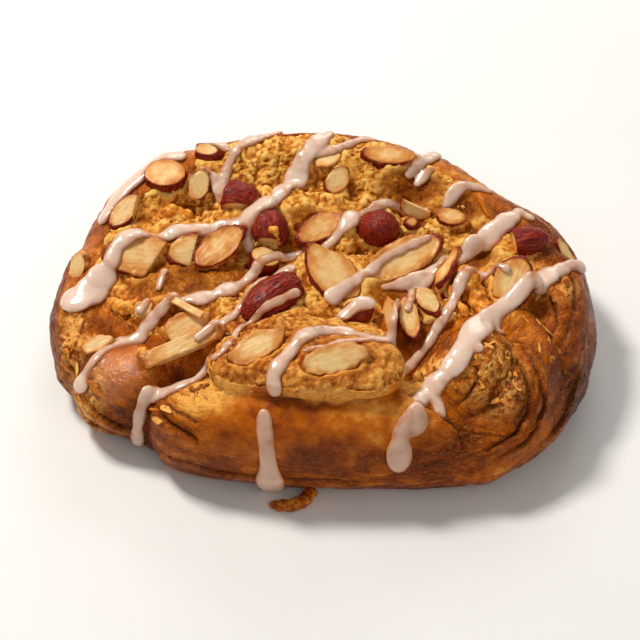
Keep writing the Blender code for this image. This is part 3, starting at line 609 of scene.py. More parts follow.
def tree_of(pieces: list[Piece]) -> BVHTree:
    """A search tree of the faces of several pieces."""
    verts: list[Vector] = []
    faces: list[list[int]] = []
    for piece in pieces:
        base = len(verts)
        verts += [v.co.copy() for v in piece.data.vertices]
        faces += [[base + i for i in polygon.vertices] for polygon in piece.data.polygons]
    return BVHTree.FromPolygons(verts, faces)


def places_of(piece: Piece) -> Field:
    """The places of a piece's vertices, in mm, one row each."""
    flat = np.empty(len(piece.data.vertices) * 3)
    piece.data.vertices.foreach_get("co", flat)
    return flat.reshape(-1, 3) / MM


def normals_of(piece: Piece) -> Field:
    """The normals of a piece's vertices, one row each."""
    flat = np.empty(len(piece.data.vertices) * 3)
    piece.data.vertex_normals.foreach_get("vector", flat)
    return flat.reshape(-1, 3)


def move_to(piece: Piece, places: Field) -> None:
    """Puts a piece's vertices at places in mm."""
    piece.data.vertices.foreach_set("co", (places * MM).ravel())
    piece.data.update()


def store(piece: Piece, name: str, values: Field) -> None:
    """Stores one number, or one vector, for each vertex under a name that materials read."""
    kind = "FLOAT" if values.ndim == 1 else "FLOAT_VECTOR"
    made = piece.data.attributes.new(name, kind, "POINT")
    made.data.foreach_set("value" if kind == "FLOAT" else "vector", values.astype(np.float32).ravel())


def ramp_between(values: Field, low: float, high: float) -> Field:
    """Smooth step from 0 at low to 1 at high."""
    t = np.clip((values - low) / (high - low), 0.0, 1.0)
    return t * t * (3 - 2 * t)


def waves(places: Field, stretch: Triple, octaves: int = 1, shift: float = 0.0) -> Field:
    """Fractal noise at every place.

    Args:
        places: Rows of places in mm.
        stretch: Size of its features along each axis, in mm.
        octaves: How many finer layers are summed.
        shift: Moves the noise to another part of its field.

    Returns:
        One value a row, roughly from -1 to 1.
    """
    rows = (places / np.array(stretch) + shift).tolist()
    return np.array([noise.fractal(row, 0.9, 2.1, octaves) for row in rows])


def grains(places: Field, size: float, shift: float = 0.0) -> Field:
    """Rounded lumps at every place: 1 on top of a lump, 0 between them."""
    rows = (places / size + shift).tolist()
    nearest = np.array([noise.voronoi(row)[0][0] for row in rows])
    return np.clip(1 - (nearest / 0.8) ** 2, 0.0, 1.0)


def waves_each_way(places: Field, size: float, octaves: int, shifts: Triple) -> Field:
    """Noise in three directions at every place, each from its own part of the field."""
    return np.stack([waves(places, (size, size, size), octaves, shift) for shift in shifts], axis=1)


def in_patches(places: Field, patches: list[Patch], soft: float = 0.45) -> Field:
    """How far inside any of a list of oval patches each place is, seen from above: 1 within, 0 outside."""
    most = np.zeros(len(places))
    for x, y, wide, deep in patches:
        reach = np.hypot((places[:, 0] - x) / wide, (places[:, 1] - y) / deep)
        most = np.maximum(most, 1 - ramp_between(reach, 1 - soft, 1 + soft))
    return most


def draw_in_patch(draw: random.Random, patch: Patch) -> tuple[float, float]:
    """A place on the sheet drawn evenly from an oval patch, in mm."""
    x, y, wide, deep = patch
    turn, reach = draw.uniform(0, math.tau), math.sqrt(draw.random())
    return x + wide * reach * math.cos(turn), y + deep * reach * math.sin(turn)


def drop_onto(tree: BVHTree, x: float, y: float) -> tuple[Optional[Vector], Optional[Vector]]:
    """Where a point dropped from over the sheet lands, in metres, and the normal there."""
    return tree.ray_cast(Vector((x, y, OVERHEAD)) * MM, -UP)[:2]


def relax(mesh: BMesh, verts: object, rounds: int) -> None:
    """Smooths some of a bmesh's vertices for a number of rounds."""
    for _ in range(rounds):
        bmesh.ops.smooth_vert(mesh, verts=verts, factor=0.5, use_axis_x=True, use_axis_y=True,
                              use_axis_z=True)


def cut_flat(mesh: BMesh, facing: Vector, offset: float, catch: float = 0.0) -> None:
    """Cuts a bmesh off at a plane and closes the cut.

    Args:
        mesh: The bmesh that is cut.
        facing: The way the plane faces, away from what is kept.
        offset: The plane's distance from the origin along it, in mm.
        catch: Distance in metres at which a vertex counts as on the plane.
    """
    whole = mesh.verts[:] + mesh.edges[:] + mesh.faces[:]
    cut = bmesh.ops.bisect_plane(mesh, geom=whole, dist=catch, plane_co=facing * offset * MM,
                                 plane_no=facing, clear_outer=True)
    rim = [e for e in cut["geom_cut"] if isinstance(e, bmesh.types.BMEdge)]
    bmesh.ops.contextual_create(mesh, geom=rim)


def hollowness(piece: Piece, rounds: int, depth: float) -> Field:
    """How hollow the surface is at every vertex: -1 on crests, 1 in dips.

    Args:
        piece: The piece that is looked at.
        rounds: Rounds of smoothing that tell a dip from the surface round it.
        depth: Depth in mm that counts as fully hollow.

    Returns:
        One value a vertex.
    """
    before = places_of(piece)
    mesh = bmesh.new()
    mesh.from_mesh(piece.data)
    relax(mesh, mesh.verts, rounds)
    after = np.array([v.co[:] for v in mesh.verts]) / MM
    mesh.free()
    lift = ((after - before) * normals_of(piece)).sum(axis=1)
    return np.clip(lift / depth, -1.0, 1.0)


def hand_over(piece: Piece, material: bpy.types.Material,
              node: str = "") -> None:
    """Moves a finished piece from the sheet to its place, dresses it and hands it to the frame.

    Args:
        piece: The finished piece, as laid out on the sheet.
        material: Its material.
        node: The solid that it is shown in place of, if any.
    """
    piece.data.transform(Matrix.Translation(-SHEET_MIDDLE * MM))
    piece.data.polygons.foreach_set("use_smooth", [True] * len(piece.data.polygons))
    piece.data.materials.clear()
    piece.data.materials.append(material)
    piece.data.update()
    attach(piece, "root")
    if node:
        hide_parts(node)
    LOG.info("%s: %d faces", piece.name, len(piece.data.polygons))


class Paint:
    """A node material in the making."""

    def __init__(self, name: str) -> None:
        """Starts a material from a plain shader."""
        self.material = bpy.data.materials.new(name)
        self.material.use_nodes = True
        self.tree = self.material.node_tree
        self.shader = self.tree.nodes["Principled BSDF"]

    def set(self, **values: object) -> None:
        """Sets uniform values on the shader, with underscores for the spaces in their names."""
        for name, value in values.items():
            self.input_of(name).default_value = value

    def input_of(self, name: str) -> Socket:
        """The shader's input of a name, with underscores for its spaces."""
        return self.shader.inputs[name.replace("_", " ").title().replace("Ior", "IOR")]

    def add(self, kind: str, **settings: object) -> bpy.types.Node:
        """Adds a node with some settings."""
        node = self.tree.nodes.new(kind)
        for name, value in settings.items():
            setattr(node, name, value)
        return node

    def feed(self, socket: Socket, source: object) -> None:
        """Gives a socket a link or a fixed value."""
        if isinstance(source, Socket):
            self.tree.links.new(source, socket)
        else:
            socket.default_value = source

    def place(self, *stretch: float) -> Socket:
        """Object coordinates in units of a stretch in mm, one for each way or one for all."""
        mapping = self.add("ShaderNodeMapping")
        sizes = stretch if len(stretch) == 3 else stretch * 3
        mapping.inputs["Scale"].default_value = [1 / (MM * size) for size in sizes]
        self.feed(mapping.inputs["Vector"], self.add("ShaderNodeTexCoord").outputs["Object"])
        return mapping.outputs["Vector"]

    def dress(self, **sources: object) -> bpy.types.Material:
        """Feeds the shader's inputs, named as in set, and gives the finished material."""
        for name, source in sources.items():
            self.feed(self.input_of(name), source)
        return self.material

    def attribute(self, name: str, vector: bool = False) -> Socket:
        """A value stored on the piece's vertices."""
        return self.add("ShaderNodeAttribute", attribute_name=name).outputs["Vector" if vector else "Fac"]

    def scaled(self, vector: Socket, stretch: Triple) -> Socket:
        """A vector divided by a stretch, part by part."""
        mapping = self.add("ShaderNodeMapping")
        mapping.inputs["Scale"].default_value = [1 / size for size in stretch]
        self.feed(mapping.inputs["Vector"], vector)
        return mapping.outputs["Vector"]

    def noise(self, at: Socket, detail: float = 3.0, rough: float = 0.55,
              warp: float = 0.0) -> Socket:
        """Noise from 0 to 1 with features of about one unit of its coordinates."""
        node = self.add("ShaderNodeTexNoise")
        node.inputs["Scale"].default_value = 1.0
        node.inputs["Detail"].default_value = detail
        node.inputs["Roughness"].default_value = rough
        node.inputs["Distortion"].default_value = warp
        self.feed(node.inputs["Vector"], at)
        return node.outputs["Fac"]

    def ramp(self, value: Socket, stops: list[tuple[float, Colour]]) -> Socket:
        """Colours along a value."""
        node = self.add("ShaderNodeValToRGB")
        elements = node.color_ramp.elements
        while len(elements) < len(stops):
            elements.new(0.5)
        for element, (at, colour) in zip(elements, stops):
            element.position = at
            element.color = colour
        self.feed(node.inputs["Fac"], value)
        return node.outputs["Color"]

    def band(self, value: Socket, low: float, high: float, to_low: float = 0.0,
             to_high: float = 1.0) -> Socket:
        """A value mapped from one range to another, smoothly and held at its ends."""
        node = self.add("ShaderNodeMapRange", interpolation_type="SMOOTHSTEP")
        ends = {"From Min": low, "From Max": high, "To Min": to_low, "To Max": to_high}
        for name, number in ends.items():
            node.inputs[name].default_value = number
        self.feed(node.inputs["Value"], value)
        return node.outputs["Result"]

    def math(self, operation: str, first: object, second: object = 0.0) -> Socket:
        """One sum of two values, or of one."""
        node = self.add("ShaderNodeMath", operation=operation)
        self.feed(node.inputs[0], first)
        self.feed(node.inputs[1], second)
        return node.outputs[0]

    def times(self, first: object, second: object) -> Socket:
        """One value times another."""
        return self.math("MULTIPLY", first, second)

    def swing(self, value: Socket, share: float) -> Socket:
        """How far a value is over or under its middle, times a share."""
        return self.times(self.math("SUBTRACT", value, 0.5), share)

    def mix(self, share: object, under: object, over: object) -> Socket:
        """One colour laid over another by a share."""
        node = self.add("ShaderNodeMix", data_type="RGBA", blend_type="MIX")
        self.feed(node.inputs[0], share)
        self.feed(node.inputs[6], under)
        self.feed(node.inputs[7], over)
        return node.outputs[2]

    def bump(self, height: Socket, depth: float, strength: float = 1.0,
             under: Optional[Socket] = None) -> Socket:
        """A relief of some depth in mm, over another if given."""
        node = self.add("ShaderNodeBump")
        node.inputs["Strength"].default_value = strength
        node.inputs["Distance"].default_value = depth * MM
        self.feed(node.inputs["Height"], height)
        if under:
            self.feed(node.inputs["Normal"], under)
        return node.outputs["Normal"]


@dataclass(frozen=True)
class CrustFinish:
    """Egg-washed, layered crust, browned unevenly, with painted shade in its creases and painted highlights
    on its flake edges.
    """

    # Palest crust, also used as painted highlight on the flakes' edges.
    pale: Colour = screen_colour(0.98, 0.70, 0.30)
    golden: Colour = screen_colour(0.77, 0.39, 0.02)
    brown: Colour = screen_colour(0.51, 0.19, 0.0)
    # Darkest browning, also used as painted shade in creases and along the steps between sheets.
    burnt_and_shade: Colour = screen_colour(0.25, 0.05, 0.0)
    flake: Colour = screen_colour(1.0, 0.73, 0.37)
    filling: Colour = screen_colour(0.90, 0.62, 0.26)

    def material(self) -> bpy.types.Material:
        """Builds the material from its attributes: the weave, the browning with painted shade and light,
        the wash, gloss, flakes and lip, and the painted shade of creases and dips.
        """
        paint = Paint("baked_crust")
        paint.set(subsurface_weight=0.05, subsurface_scale=1.0 * MM, subsurface_radius=(1.0, 0.45, 0.2),
                  specular_tint=(1.0, 0.72, 0.42, 1.0), coat_roughness=0.1)
        weave = paint.attribute("weave", vector=True)
        wash = paint.attribute("wash")
        gloss = paint.attribute("gloss")
        sheets = paint.noise(paint.scaled(weave, (7.0, 2.8, 1.0)), detail=5.0, rough=0.5, warp=0.9)
        shreds = paint.noise(paint.scaled(weave, (2.6, 1.0, 1.0)), detail=4.0, rough=0.6, warp=1.2)
        blotches = paint.noise(paint.place(5.0, 5.0, 3.6), detail=6.0, rough=0.62)
        fine = paint.noise(paint.place(0.9, 0.9, 0.6), detail=5.0, rough=0.7)
        scraps = paint.noise(paint.place(1.5, 1.5, 1.0), detail=4.0, rough=0.6, warp=0.5)
        crinkles = paint.noise(paint.place(1.7, 1.7, 1.2), detail=2.0, rough=0.5, warp=1.2)
        dry = paint.band(wash, 0.0, 1.0, 1.0, 0.15)
        shade = paint.attribute("bake")
        for value, share in ((sheets, 0.55), (shreds, 0.45), (fine, 0.35)):
            shade = paint.math("ADD", shade, paint.times(paint.swing(value, share), dry))
        shade = paint.math("ADD", shade, paint.swing(blotches, 1.0))
        colour = paint.ramp(shade, [(0.05, self.pale), (0.38, self.golden), (0.70, self.brown),
                                    (1.0, self.burnt_and_shade)])
        # Painted shade: thin dark lines where the sheets step down.
        step_shade_lines = paint.times(self.edge_of(paint, sheets, 0.5, 0.02), dry)
        colour = paint.mix(paint.times(step_shade_lines, 0.3), colour, self.burnt_and_shade)
        # Painted highlight: thin pale lines along the flakes' raised edges.
        lit_flake_edges = paint.times(self.edge_of(paint, shreds, 0.56, 0.03), dry)
        colour = paint.mix(paint.times(lit_flake_edges, 0.35), colour, self.pale)
        flaky = paint.times(paint.attribute("flaky"), paint.band(scraps, 0.38, 0.52))
        colour = paint.mix(flaky, colour, self.flake)
        crumbly = paint.mix(paint.band(fine, 0.46, 0.66), self.filling, self.golden)
        colour = paint.mix(paint.attribute("lip"), colour, crumbly)
        # Painted shade in the creases, grooves and dips.
        colour = paint.mix(paint.attribute("crease"), colour, self.burnt_and_shade)
        shine = paint.math("ADD", paint.band(wash, 0.0, 1.0, 0.24, 0.34), paint.times(gloss, 0.4))
        blistered = paint.math("MAXIMUM", paint.attribute("flaky"), gloss)
        worn = paint.times(paint.band(wash, 0.0, 1.0, 1.0, 0.6), paint.band(gloss, 0.0, 1.0, 1.0, 0.3))
        relief = paint.bump(paint.times(paint.band(sheets, 0.48, 0.53), dry), 0.3, 0.8)
        relief = paint.bump(paint.times(paint.band(shreds, 0.48, 0.58), dry), 0.18, 0.8, relief)
        relief = paint.bump(paint.times(scraps, blistered), 0.35, 0.8, relief)
        relief = paint.bump(paint.times(fine, worn), 0.3, 0.8, relief)
        relief = paint.bump(paint.times(crinkles, gloss), 0.4, 1.0, relief)
        return paint.dress(base_color=colour, roughness=paint.band(blotches, 0.35, 0.68, 0.24, 0.46),
                           specular_ior_level=shine, coat_weight=paint.band(gloss, 0.0, 1.0, 0.0, 0.9),
                           normal=relief, coat_normal=relief)

    def edge_of(self, paint: Paint, value: Socket, level: float,
                width: float) -> Socket:
        """A thin line where a value passes a level."""
        gap = paint.math("ABSOLUTE", paint.math("SUBTRACT", value, level))
        return paint.band(gap, 0.0, width, 1.0, 0.0)


@dataclass(frozen=True)
class FillingFinish:
    """Baked almond filling: crumbly and golden, glazed in its hollows and cream at its front, with painted
    shade in its hollows and a painted shadow line under its ridge.
    """

    tip: Colour = screen_colour(1.0, 0.80, 0.43)
    golden: Colour = screen_colour(0.90, 0.60, 0.23)
    # Darkest crumb, which is also the painted shade of hollows and of the line under the ridge.
    deep: Colour = screen_colour(0.60, 0.30, 0.02)
    toasted: Colour = screen_colour(0.72, 0.34, 0.03)
    amber: Colour = screen_colour(0.69, 0.38, 0.04)
    amber_dark: Colour = screen_colour(0.43, 0.17, 0.0)
    cream: Colour = screen_colour(0.92, 0.66, 0.30)

    def material(self) -> bpy.types.Material:
        """Builds the material from its attributes: the hollowness for painted shade, glaze, toast, cream,
        and the painted shadow line under the ridge.
        """
        paint = Paint("almond_filling")
        paint.set(subsurface_weight=0.08, subsurface_scale=1.2 * MM, subsurface_radius=(1.0, 0.5, 0.2),
                  specular_ior_level=0.22, specular_tint=(1.0, 0.78, 0.5, 1.0))
        patches = paint.noise(paint.place(4.5, 4.5, 4.0), detail=5.0, rough=0.6)
        specks = paint.noise(paint.place(0.8), detail=5.0, rough=0.7)
        sugar = paint.noise(paint.place(0.45), detail=4.0, rough=0.65)
        glaze = paint.attribute("glaze")
        # Painted shade: darker in the hollows, paler on the crests.
        shade = paint.band(paint.attribute("hollow_shade"), -0.9, 0.9)
        for value, share in ((patches, 1.1), (specks, 0.8)):
            shade = paint.math("ADD", shade, paint.swing(value, share))
        crumb = paint.ramp(shade, [(0.1, self.tip), (0.45, self.golden), (0.9, self.deep)])
        browned = paint.ramp(shade, [(0.05, self.golden), (0.35, self.toasted), (0.85, self.amber_dark)])
        crumb = paint.mix(paint.attribute("toast"), crumb, browned)
        depth = paint.math("ADD", patches, paint.swing(specks, 0.9))
        glazed = paint.ramp(depth, [(0.34, self.amber_dark), (0.58, self.amber), (0.80, self.golden)])
        colour = paint.mix(glaze, crumb, glazed)
        speckled = paint.mix(paint.band(specks, 0.56, 0.72, 0.0, 0.8), self.cream, self.toasted)
        colour = paint.mix(paint.attribute("cream"), colour, speckled)
        # Painted shadow line where the ridge's browned top ends.
        colour = paint.mix(paint.attribute("shaded_seam"), colour, self.deep)
        relief = paint.bump(sugar, 0.25, 0.8, paint.bump(specks, 0.45, 0.9))
        return paint.dress(base_color=colour, roughness=paint.band(glaze, 0.0, 1.0, 0.52, 0.28),
                           normal=relief)


@dataclass(frozen=True)
class IcingFinish:
    """Set sugar icing, milky and glossy, and thinner towards its edges."""

    thick: Colour = screen_colour(0.90, 0.80, 0.73)
    thin: Colour = screen_colour(0.74, 0.47, 0.27)

    def material(self) -> bpy.types.Material:
        """Builds the material from the attribute thinness."""
        paint = Paint("sugar_icing")
        paint.set(subsurface_weight=0.6, subsurface_scale=2.2 * MM, subsurface_radius=(1.0, 0.55, 0.35),
                  coat_weight=0.6, coat_roughness=0.07, roughness=0.28)
        clouds = paint.noise(paint.place(3.0), detail=3.0)
        ripples = paint.noise(paint.place(1.8), detail=2.0)
        thinness = paint.math("ADD", paint.attribute("thinness"), paint.band(clouds, 0.35, 0.8, 0.0, 0.16))
        return paint.dress(base_color=paint.mix(thinness, self.thick, self.thin),
                           normal=paint.bump(ripples, 0.22, 0.6))


@dataclass(frozen=True)
class AlmondFinish:
    """Cut almond: cream flesh with a toasted edge, and a wrinkled skin where it was not cut."""

    flesh_pale: Colour = screen_colour(0.93, 0.79, 0.54)
    flesh: Colour = screen_colour(0.87, 0.61, 0.30)
    toasted: Colour = screen_colour(0.74, 0.40, 0.10)
    crumbly: Colour = screen_colour(0.85, 0.57, 0.26)
    skin_dark: Colour = screen_colour(0.24, 0.03, 0.01)
    skin: Colour = screen_colour(0.53, 0.13, 0.07)
    skin_light: Colour = screen_colour(0.74, 0.33, 0.18)

    def material(self) -> bpy.types.Material:
        """Builds the material from the attributes nut, skin, rim and worn."""
        paint = Paint("cut_almond")
        paint.set(subsurface_weight=0.15, subsurface_scale=1.5 * MM, subsurface_radius=(1.0, 0.6, 0.35))
        nut = paint.attribute("nut", vector=True)
        skinned = paint.attribute("skin")
        grain = paint.noise(paint.scaled(nut, (2.6, 0.6, 0.6)), detail=4.0, rough=0.55, warp=0.3)
        blush = paint.noise(paint.scaled(nut, (5.0, 4.0, 4.0)), detail=4.0, rough=0.6)
        pores = paint.noise(paint.scaled(nut, (0.5, 0.35, 0.35)), detail=3.0)
        wrinkles = paint.noise(paint.scaled(nut, (6.0, 0.45, 0.45)), detail=4.0, rough=0.6, warp=0.3)
        shade = paint.math("ADD", paint.times(grain, 0.16), paint.times(blush, 0.9))
        shade = paint.math("ADD", shade, paint.times(paint.attribute("worn"), 0.30))
        flesh = paint.ramp(shade, [(0.40, self.flesh_pale), (0.66, self.flesh), (1.0, self.toasted)])
        flesh = paint.mix(paint.band(pores, 0.56, 0.70, 0.0, 0.35), flesh, self.crumbly)
        flesh = paint.mix(paint.attribute("rim"), flesh, self.toasted)
        skin = paint.ramp(wrinkles, [(0.3, self.skin_dark), (0.54, self.skin), (0.78, self.skin_light)])
        relief = paint.bump(pores, 0.05, 0.4, paint.bump(grain, 0.06, 0.3))
        return paint.dress(base_color=paint.mix(skinned, flesh, skin),
                           roughness=paint.band(blush, 0.3, 0.7, 0.34, 0.5),
                           specular_ior_level=paint.band(skinned, 0.0, 1.0, 0.4, 0.2),
                           normal=paint.bump(wrinkles, 0.2, 0.4, relief))


@dataclass(frozen=True)
class CrumbFinish:
    """Loose crumbs, flakes and lumps, each browned a little differently, the lumps with painted shade in
    their dips.
    """

    name: str
    pale: Colour
    golden: Colour
    brown: Colour

    def material(self) -> bpy.types.Material:
        """Builds the material from the attribute shade."""
        paint = Paint(self.name)
        paint.set(subsurface_weight=0.1, subsurface_scale=0.8 * MM, subsurface_radius=(1.0, 0.5, 0.25),
                  roughness=0.5, specular_ior_level=0.2)
        specks = paint.noise(paint.place(0.8), detail=3.0, rough=0.6)
        shade = paint.math("ADD", paint.attribute("shade"), paint.math("SUBTRACT", specks, 0.5))
        colour = paint.ramp(shade, [(0.15, self.pale), (0.5, self.golden), (0.9, self.brown)])
        return paint.dress(base_color=colour, normal=paint.bump(specks, 0.15, 0.5))


FILLING_CRUMBS = CrumbFinish("filling_crumbs", screen_colour(0.96, 0.80, 0.50),
                             screen_colour(0.86, 0.60, 0.27), screen_colour(0.66, 0.36, 0.11))
CRUST_FLAKES = CrumbFinish("crust_flakes", screen_colour(0.96, 0.69, 0.34),
                           screen_colour(0.82, 0.47, 0.11), screen_colour(0.56, 0.25, 0.01))
BAKED_LUMPS = CrumbFinish("baked_lumps", screen_colour(1.0, 0.76, 0.36),
                          screen_colour(0.88, 0.52, 0.12), screen_colour(0.56, 0.25, 0.01))


@dataclass
class PastryBody:
    """The fused body of dough and filling, from which the crust and the filling are parted.

    Attributes:
        ball_step: Distance between the ellipsoids of a roll, in mm.
        lump_count: Lumps of filling scattered over the top.
        lump_field: The patch that they lie in.
        lump_radius: Smallest and largest lump.
        lump_shape: Half sizes of a lump as shares of its radius.
        lump_sink: How far its middle lies under the top, as a share of its radius.
        seed: Starts the draw of the lumps.
        columns: Heights at which the filling's blobs are repeated, up past the top.
    """

    ball_step: float = 3.0
    lump_count: int = 90
    lump_field: Patch = (0.0, 2.0, 54.0, 30.0)
    lump_radius: tuple[float, float] = (2.5, 6.0)
    lump_shape: Triple = (1.0, 0.9, 0.7)
    lump_sink: float = 0.35
    seed: int = 11
    columns: tuple[float, ...] = (0.0, 6.0, 12.0, 18.0, 24.0)

    def __post_init__(self) -> None:
        """Makes the stamps and the overlapping shapes, which both skins start from."""
        self.fine = Stamp(4)
        self.medium = Stamp(3)
        self.shapes = new_object(self.overlapping(), "overlapping_shapes")

    def bare(self) -> BMesh:
        """Rolls and mounds, still overlapping."""
        mesh = bmesh.new()
        for stations in ROLLS.values():
            add_roll(mesh, self.medium, stations, self.ball_step)
        add_roll(mesh, self.medium, NUB, self.ball_step)
        for middle, half_sizes in MOUNDS:
            self.fine.ball(mesh, middle, half_sizes)
        return mesh

    def overlapping(self) -> BMesh:
        """The bare shapes with the lumps of filling sunk into their top."""
        mesh = self.bare()
        tree = BVHTree.FromBMesh(mesh)
        draw = random.Random(self.seed)
        for _ in range(self.lump_count):
            x, y = draw_in_patch(draw, self.lump_field)
            size = draw.uniform(*self.lump_radius)
            z = drop_onto(tree, x, y)[0].z / MM - self.lump_sink * size
            self.medium.ball(mesh, (x, y, z), tuple(size * share for share in self.lump_shape))
        return mesh

    def solid(self, voxel: float, smoothing: int) -> Piece:
        """The body as one skin, cut off flat at the floor."""
        body = self.shapes.copy()
        body.data = self.shapes.data.copy()
        bpy.context.scene.collection.objects.link(body)
        fuse(body, voxel, smoothing)
        in_bmesh(body, largest_island)
        in_bmesh(body, lambda mesh: cut_flat(mesh, -UP, 0.0))
        return body

    def filling_region(self) -> Piece:
        """The space that the filling takes up, drawn up past the top."""
        mesh = bmesh.new()
        for lift in self.columns:
            add_roll(mesh, self.medium, NUB, self.ball_step, lift)
            for (x, y, z), half_sizes in FILLING:
                self.fine.ball(mesh, (x, y, z + lift), half_sizes)
        region = new_object(mesh, "filling_region")
        fuse(region, 1.0, 6)
        return region


# How far over and under a surface an almond is looked for, in mm, and the greatest upright part of a
# normal that faces down.
BED_REACH = 14.0
SINK_REACH = 16.0
FACES_DOWN = -0.4

# How far a surface is lowered or raised to meet an almond, and how far below an almond's top it is hidden,
# in mm.
MOST_DROP = 3.0
MOST_RISE = 2.2
HIDDEN_BELOW = 2.5

# Rings of vertices that are softened round a bed, then rings and rounds round a sunk place.
BED_RINGS = 4
SINK_RINGS = 3
SINK_ROUNDS = 4


def underside(tree: BVHTree, place: Field, reach: float) -> Optional[float]:
    """The height in mm of an almond's underside over or under a place, if one faces down within reach."""
    start = Vector((place[0], place[1], place[2] - reach)) * MM
    hit, normal = tree.ray_cast(start, UP, 2 * reach * MM)[:2]
    return None if hit is None or normal.z > FACES_DOWN else hit.z / MM


def bed_down(piece: Piece, almonds: list[Piece], depth: float, rounds: int) -> None:
    """Raises or lowers a surface to meet the underside of every almond, and softens it round them.

    Args:
        piece: The crust or the filling.
        almonds: The almonds, as laid out on the sheet.
        depth: How far into an almond the surface goes, in mm.
        rounds: Rounds of smoothing round each almond.
    """
    tree = tree_of(almonds)
    places = places_of(piece)
    upright = normals_of(piece)[:, 2] > 0.1
    under = np.zeros(len(places), dtype=bool)
    for i in np.nonzero(upright)[0]:
        bottom = underside(tree, places[i], BED_REACH)
        if bottom is not None and -MOST_DROP < bottom - places[i, 2] < MOST_RISE:
            places[i, 2] = bottom + depth
            under[i] = True
    move_to(piece, places)
    soften_round(piece, under, BED_RINGS, rounds)


def soften_round(piece: Piece, chosen: Field, rings: int, rounds: int) -> None:
    """Smooths a surface round some of its vertices, which stay where they are.

    Args:
        piece: The crust or the filling.
        chosen: Whether each vertex is one of them.
        rings: How many rings of vertices round them are smoothed.
        rounds: Rounds of smoothing.
    """
    mesh = bmesh.new()
    mesh.from_mesh(piece.data)
    mesh.verts.ensure_lookup_table()
    inner = {mesh.verts[i] for i in np.nonzero(chosen)[0]}
    rim = set(inner)
    for _ in range(rings):
        rim |= {edge.other_vert(vert) for vert in rim for edge in vert.link_edges}
    around = [vert for vert in rim if vert not in inner]
    relax(mesh, around, rounds)
    mesh.to_mesh(piece.data)
    mesh.free()


def sink_under(piece: Piece, almonds: list[Piece], depth: float) -> None:
    """Lowers what would stand out of the top of an almond to within it.

    Args:
        piece: The crust or the filling.
        almonds: The almonds, as laid out on the sheet.
        depth: How far above a slice's underside the surface may stay, in mm.
    """
    tree = tree_of(almonds)
    places = places_of(piece)
    upright = normals_of(piece)[:, 2] > 0.0
    sunk = np.zeros(len(places), dtype=bool)
    for i in np.nonzero(upright)[0]:
        bottom = underside(tree, places[i], SINK_REACH)
        if bottom is None:
            continue
        above = Vector((places[i, 0], places[i, 1], places[i, 2] + SINK_REACH)) * MM
        top = tree.ray_cast(above, -UP, 2 * SINK_REACH * MM)[0].z / MM
        limit = max(bottom + depth, top - HIDDEN_BELOW)
        if limit < places[i, 2]:
            places[i, 2] = limit
            sunk[i] = True
    move_to(piece, places)
    soften_round(piece, sunk, SINK_RINGS, SINK_ROUNDS)


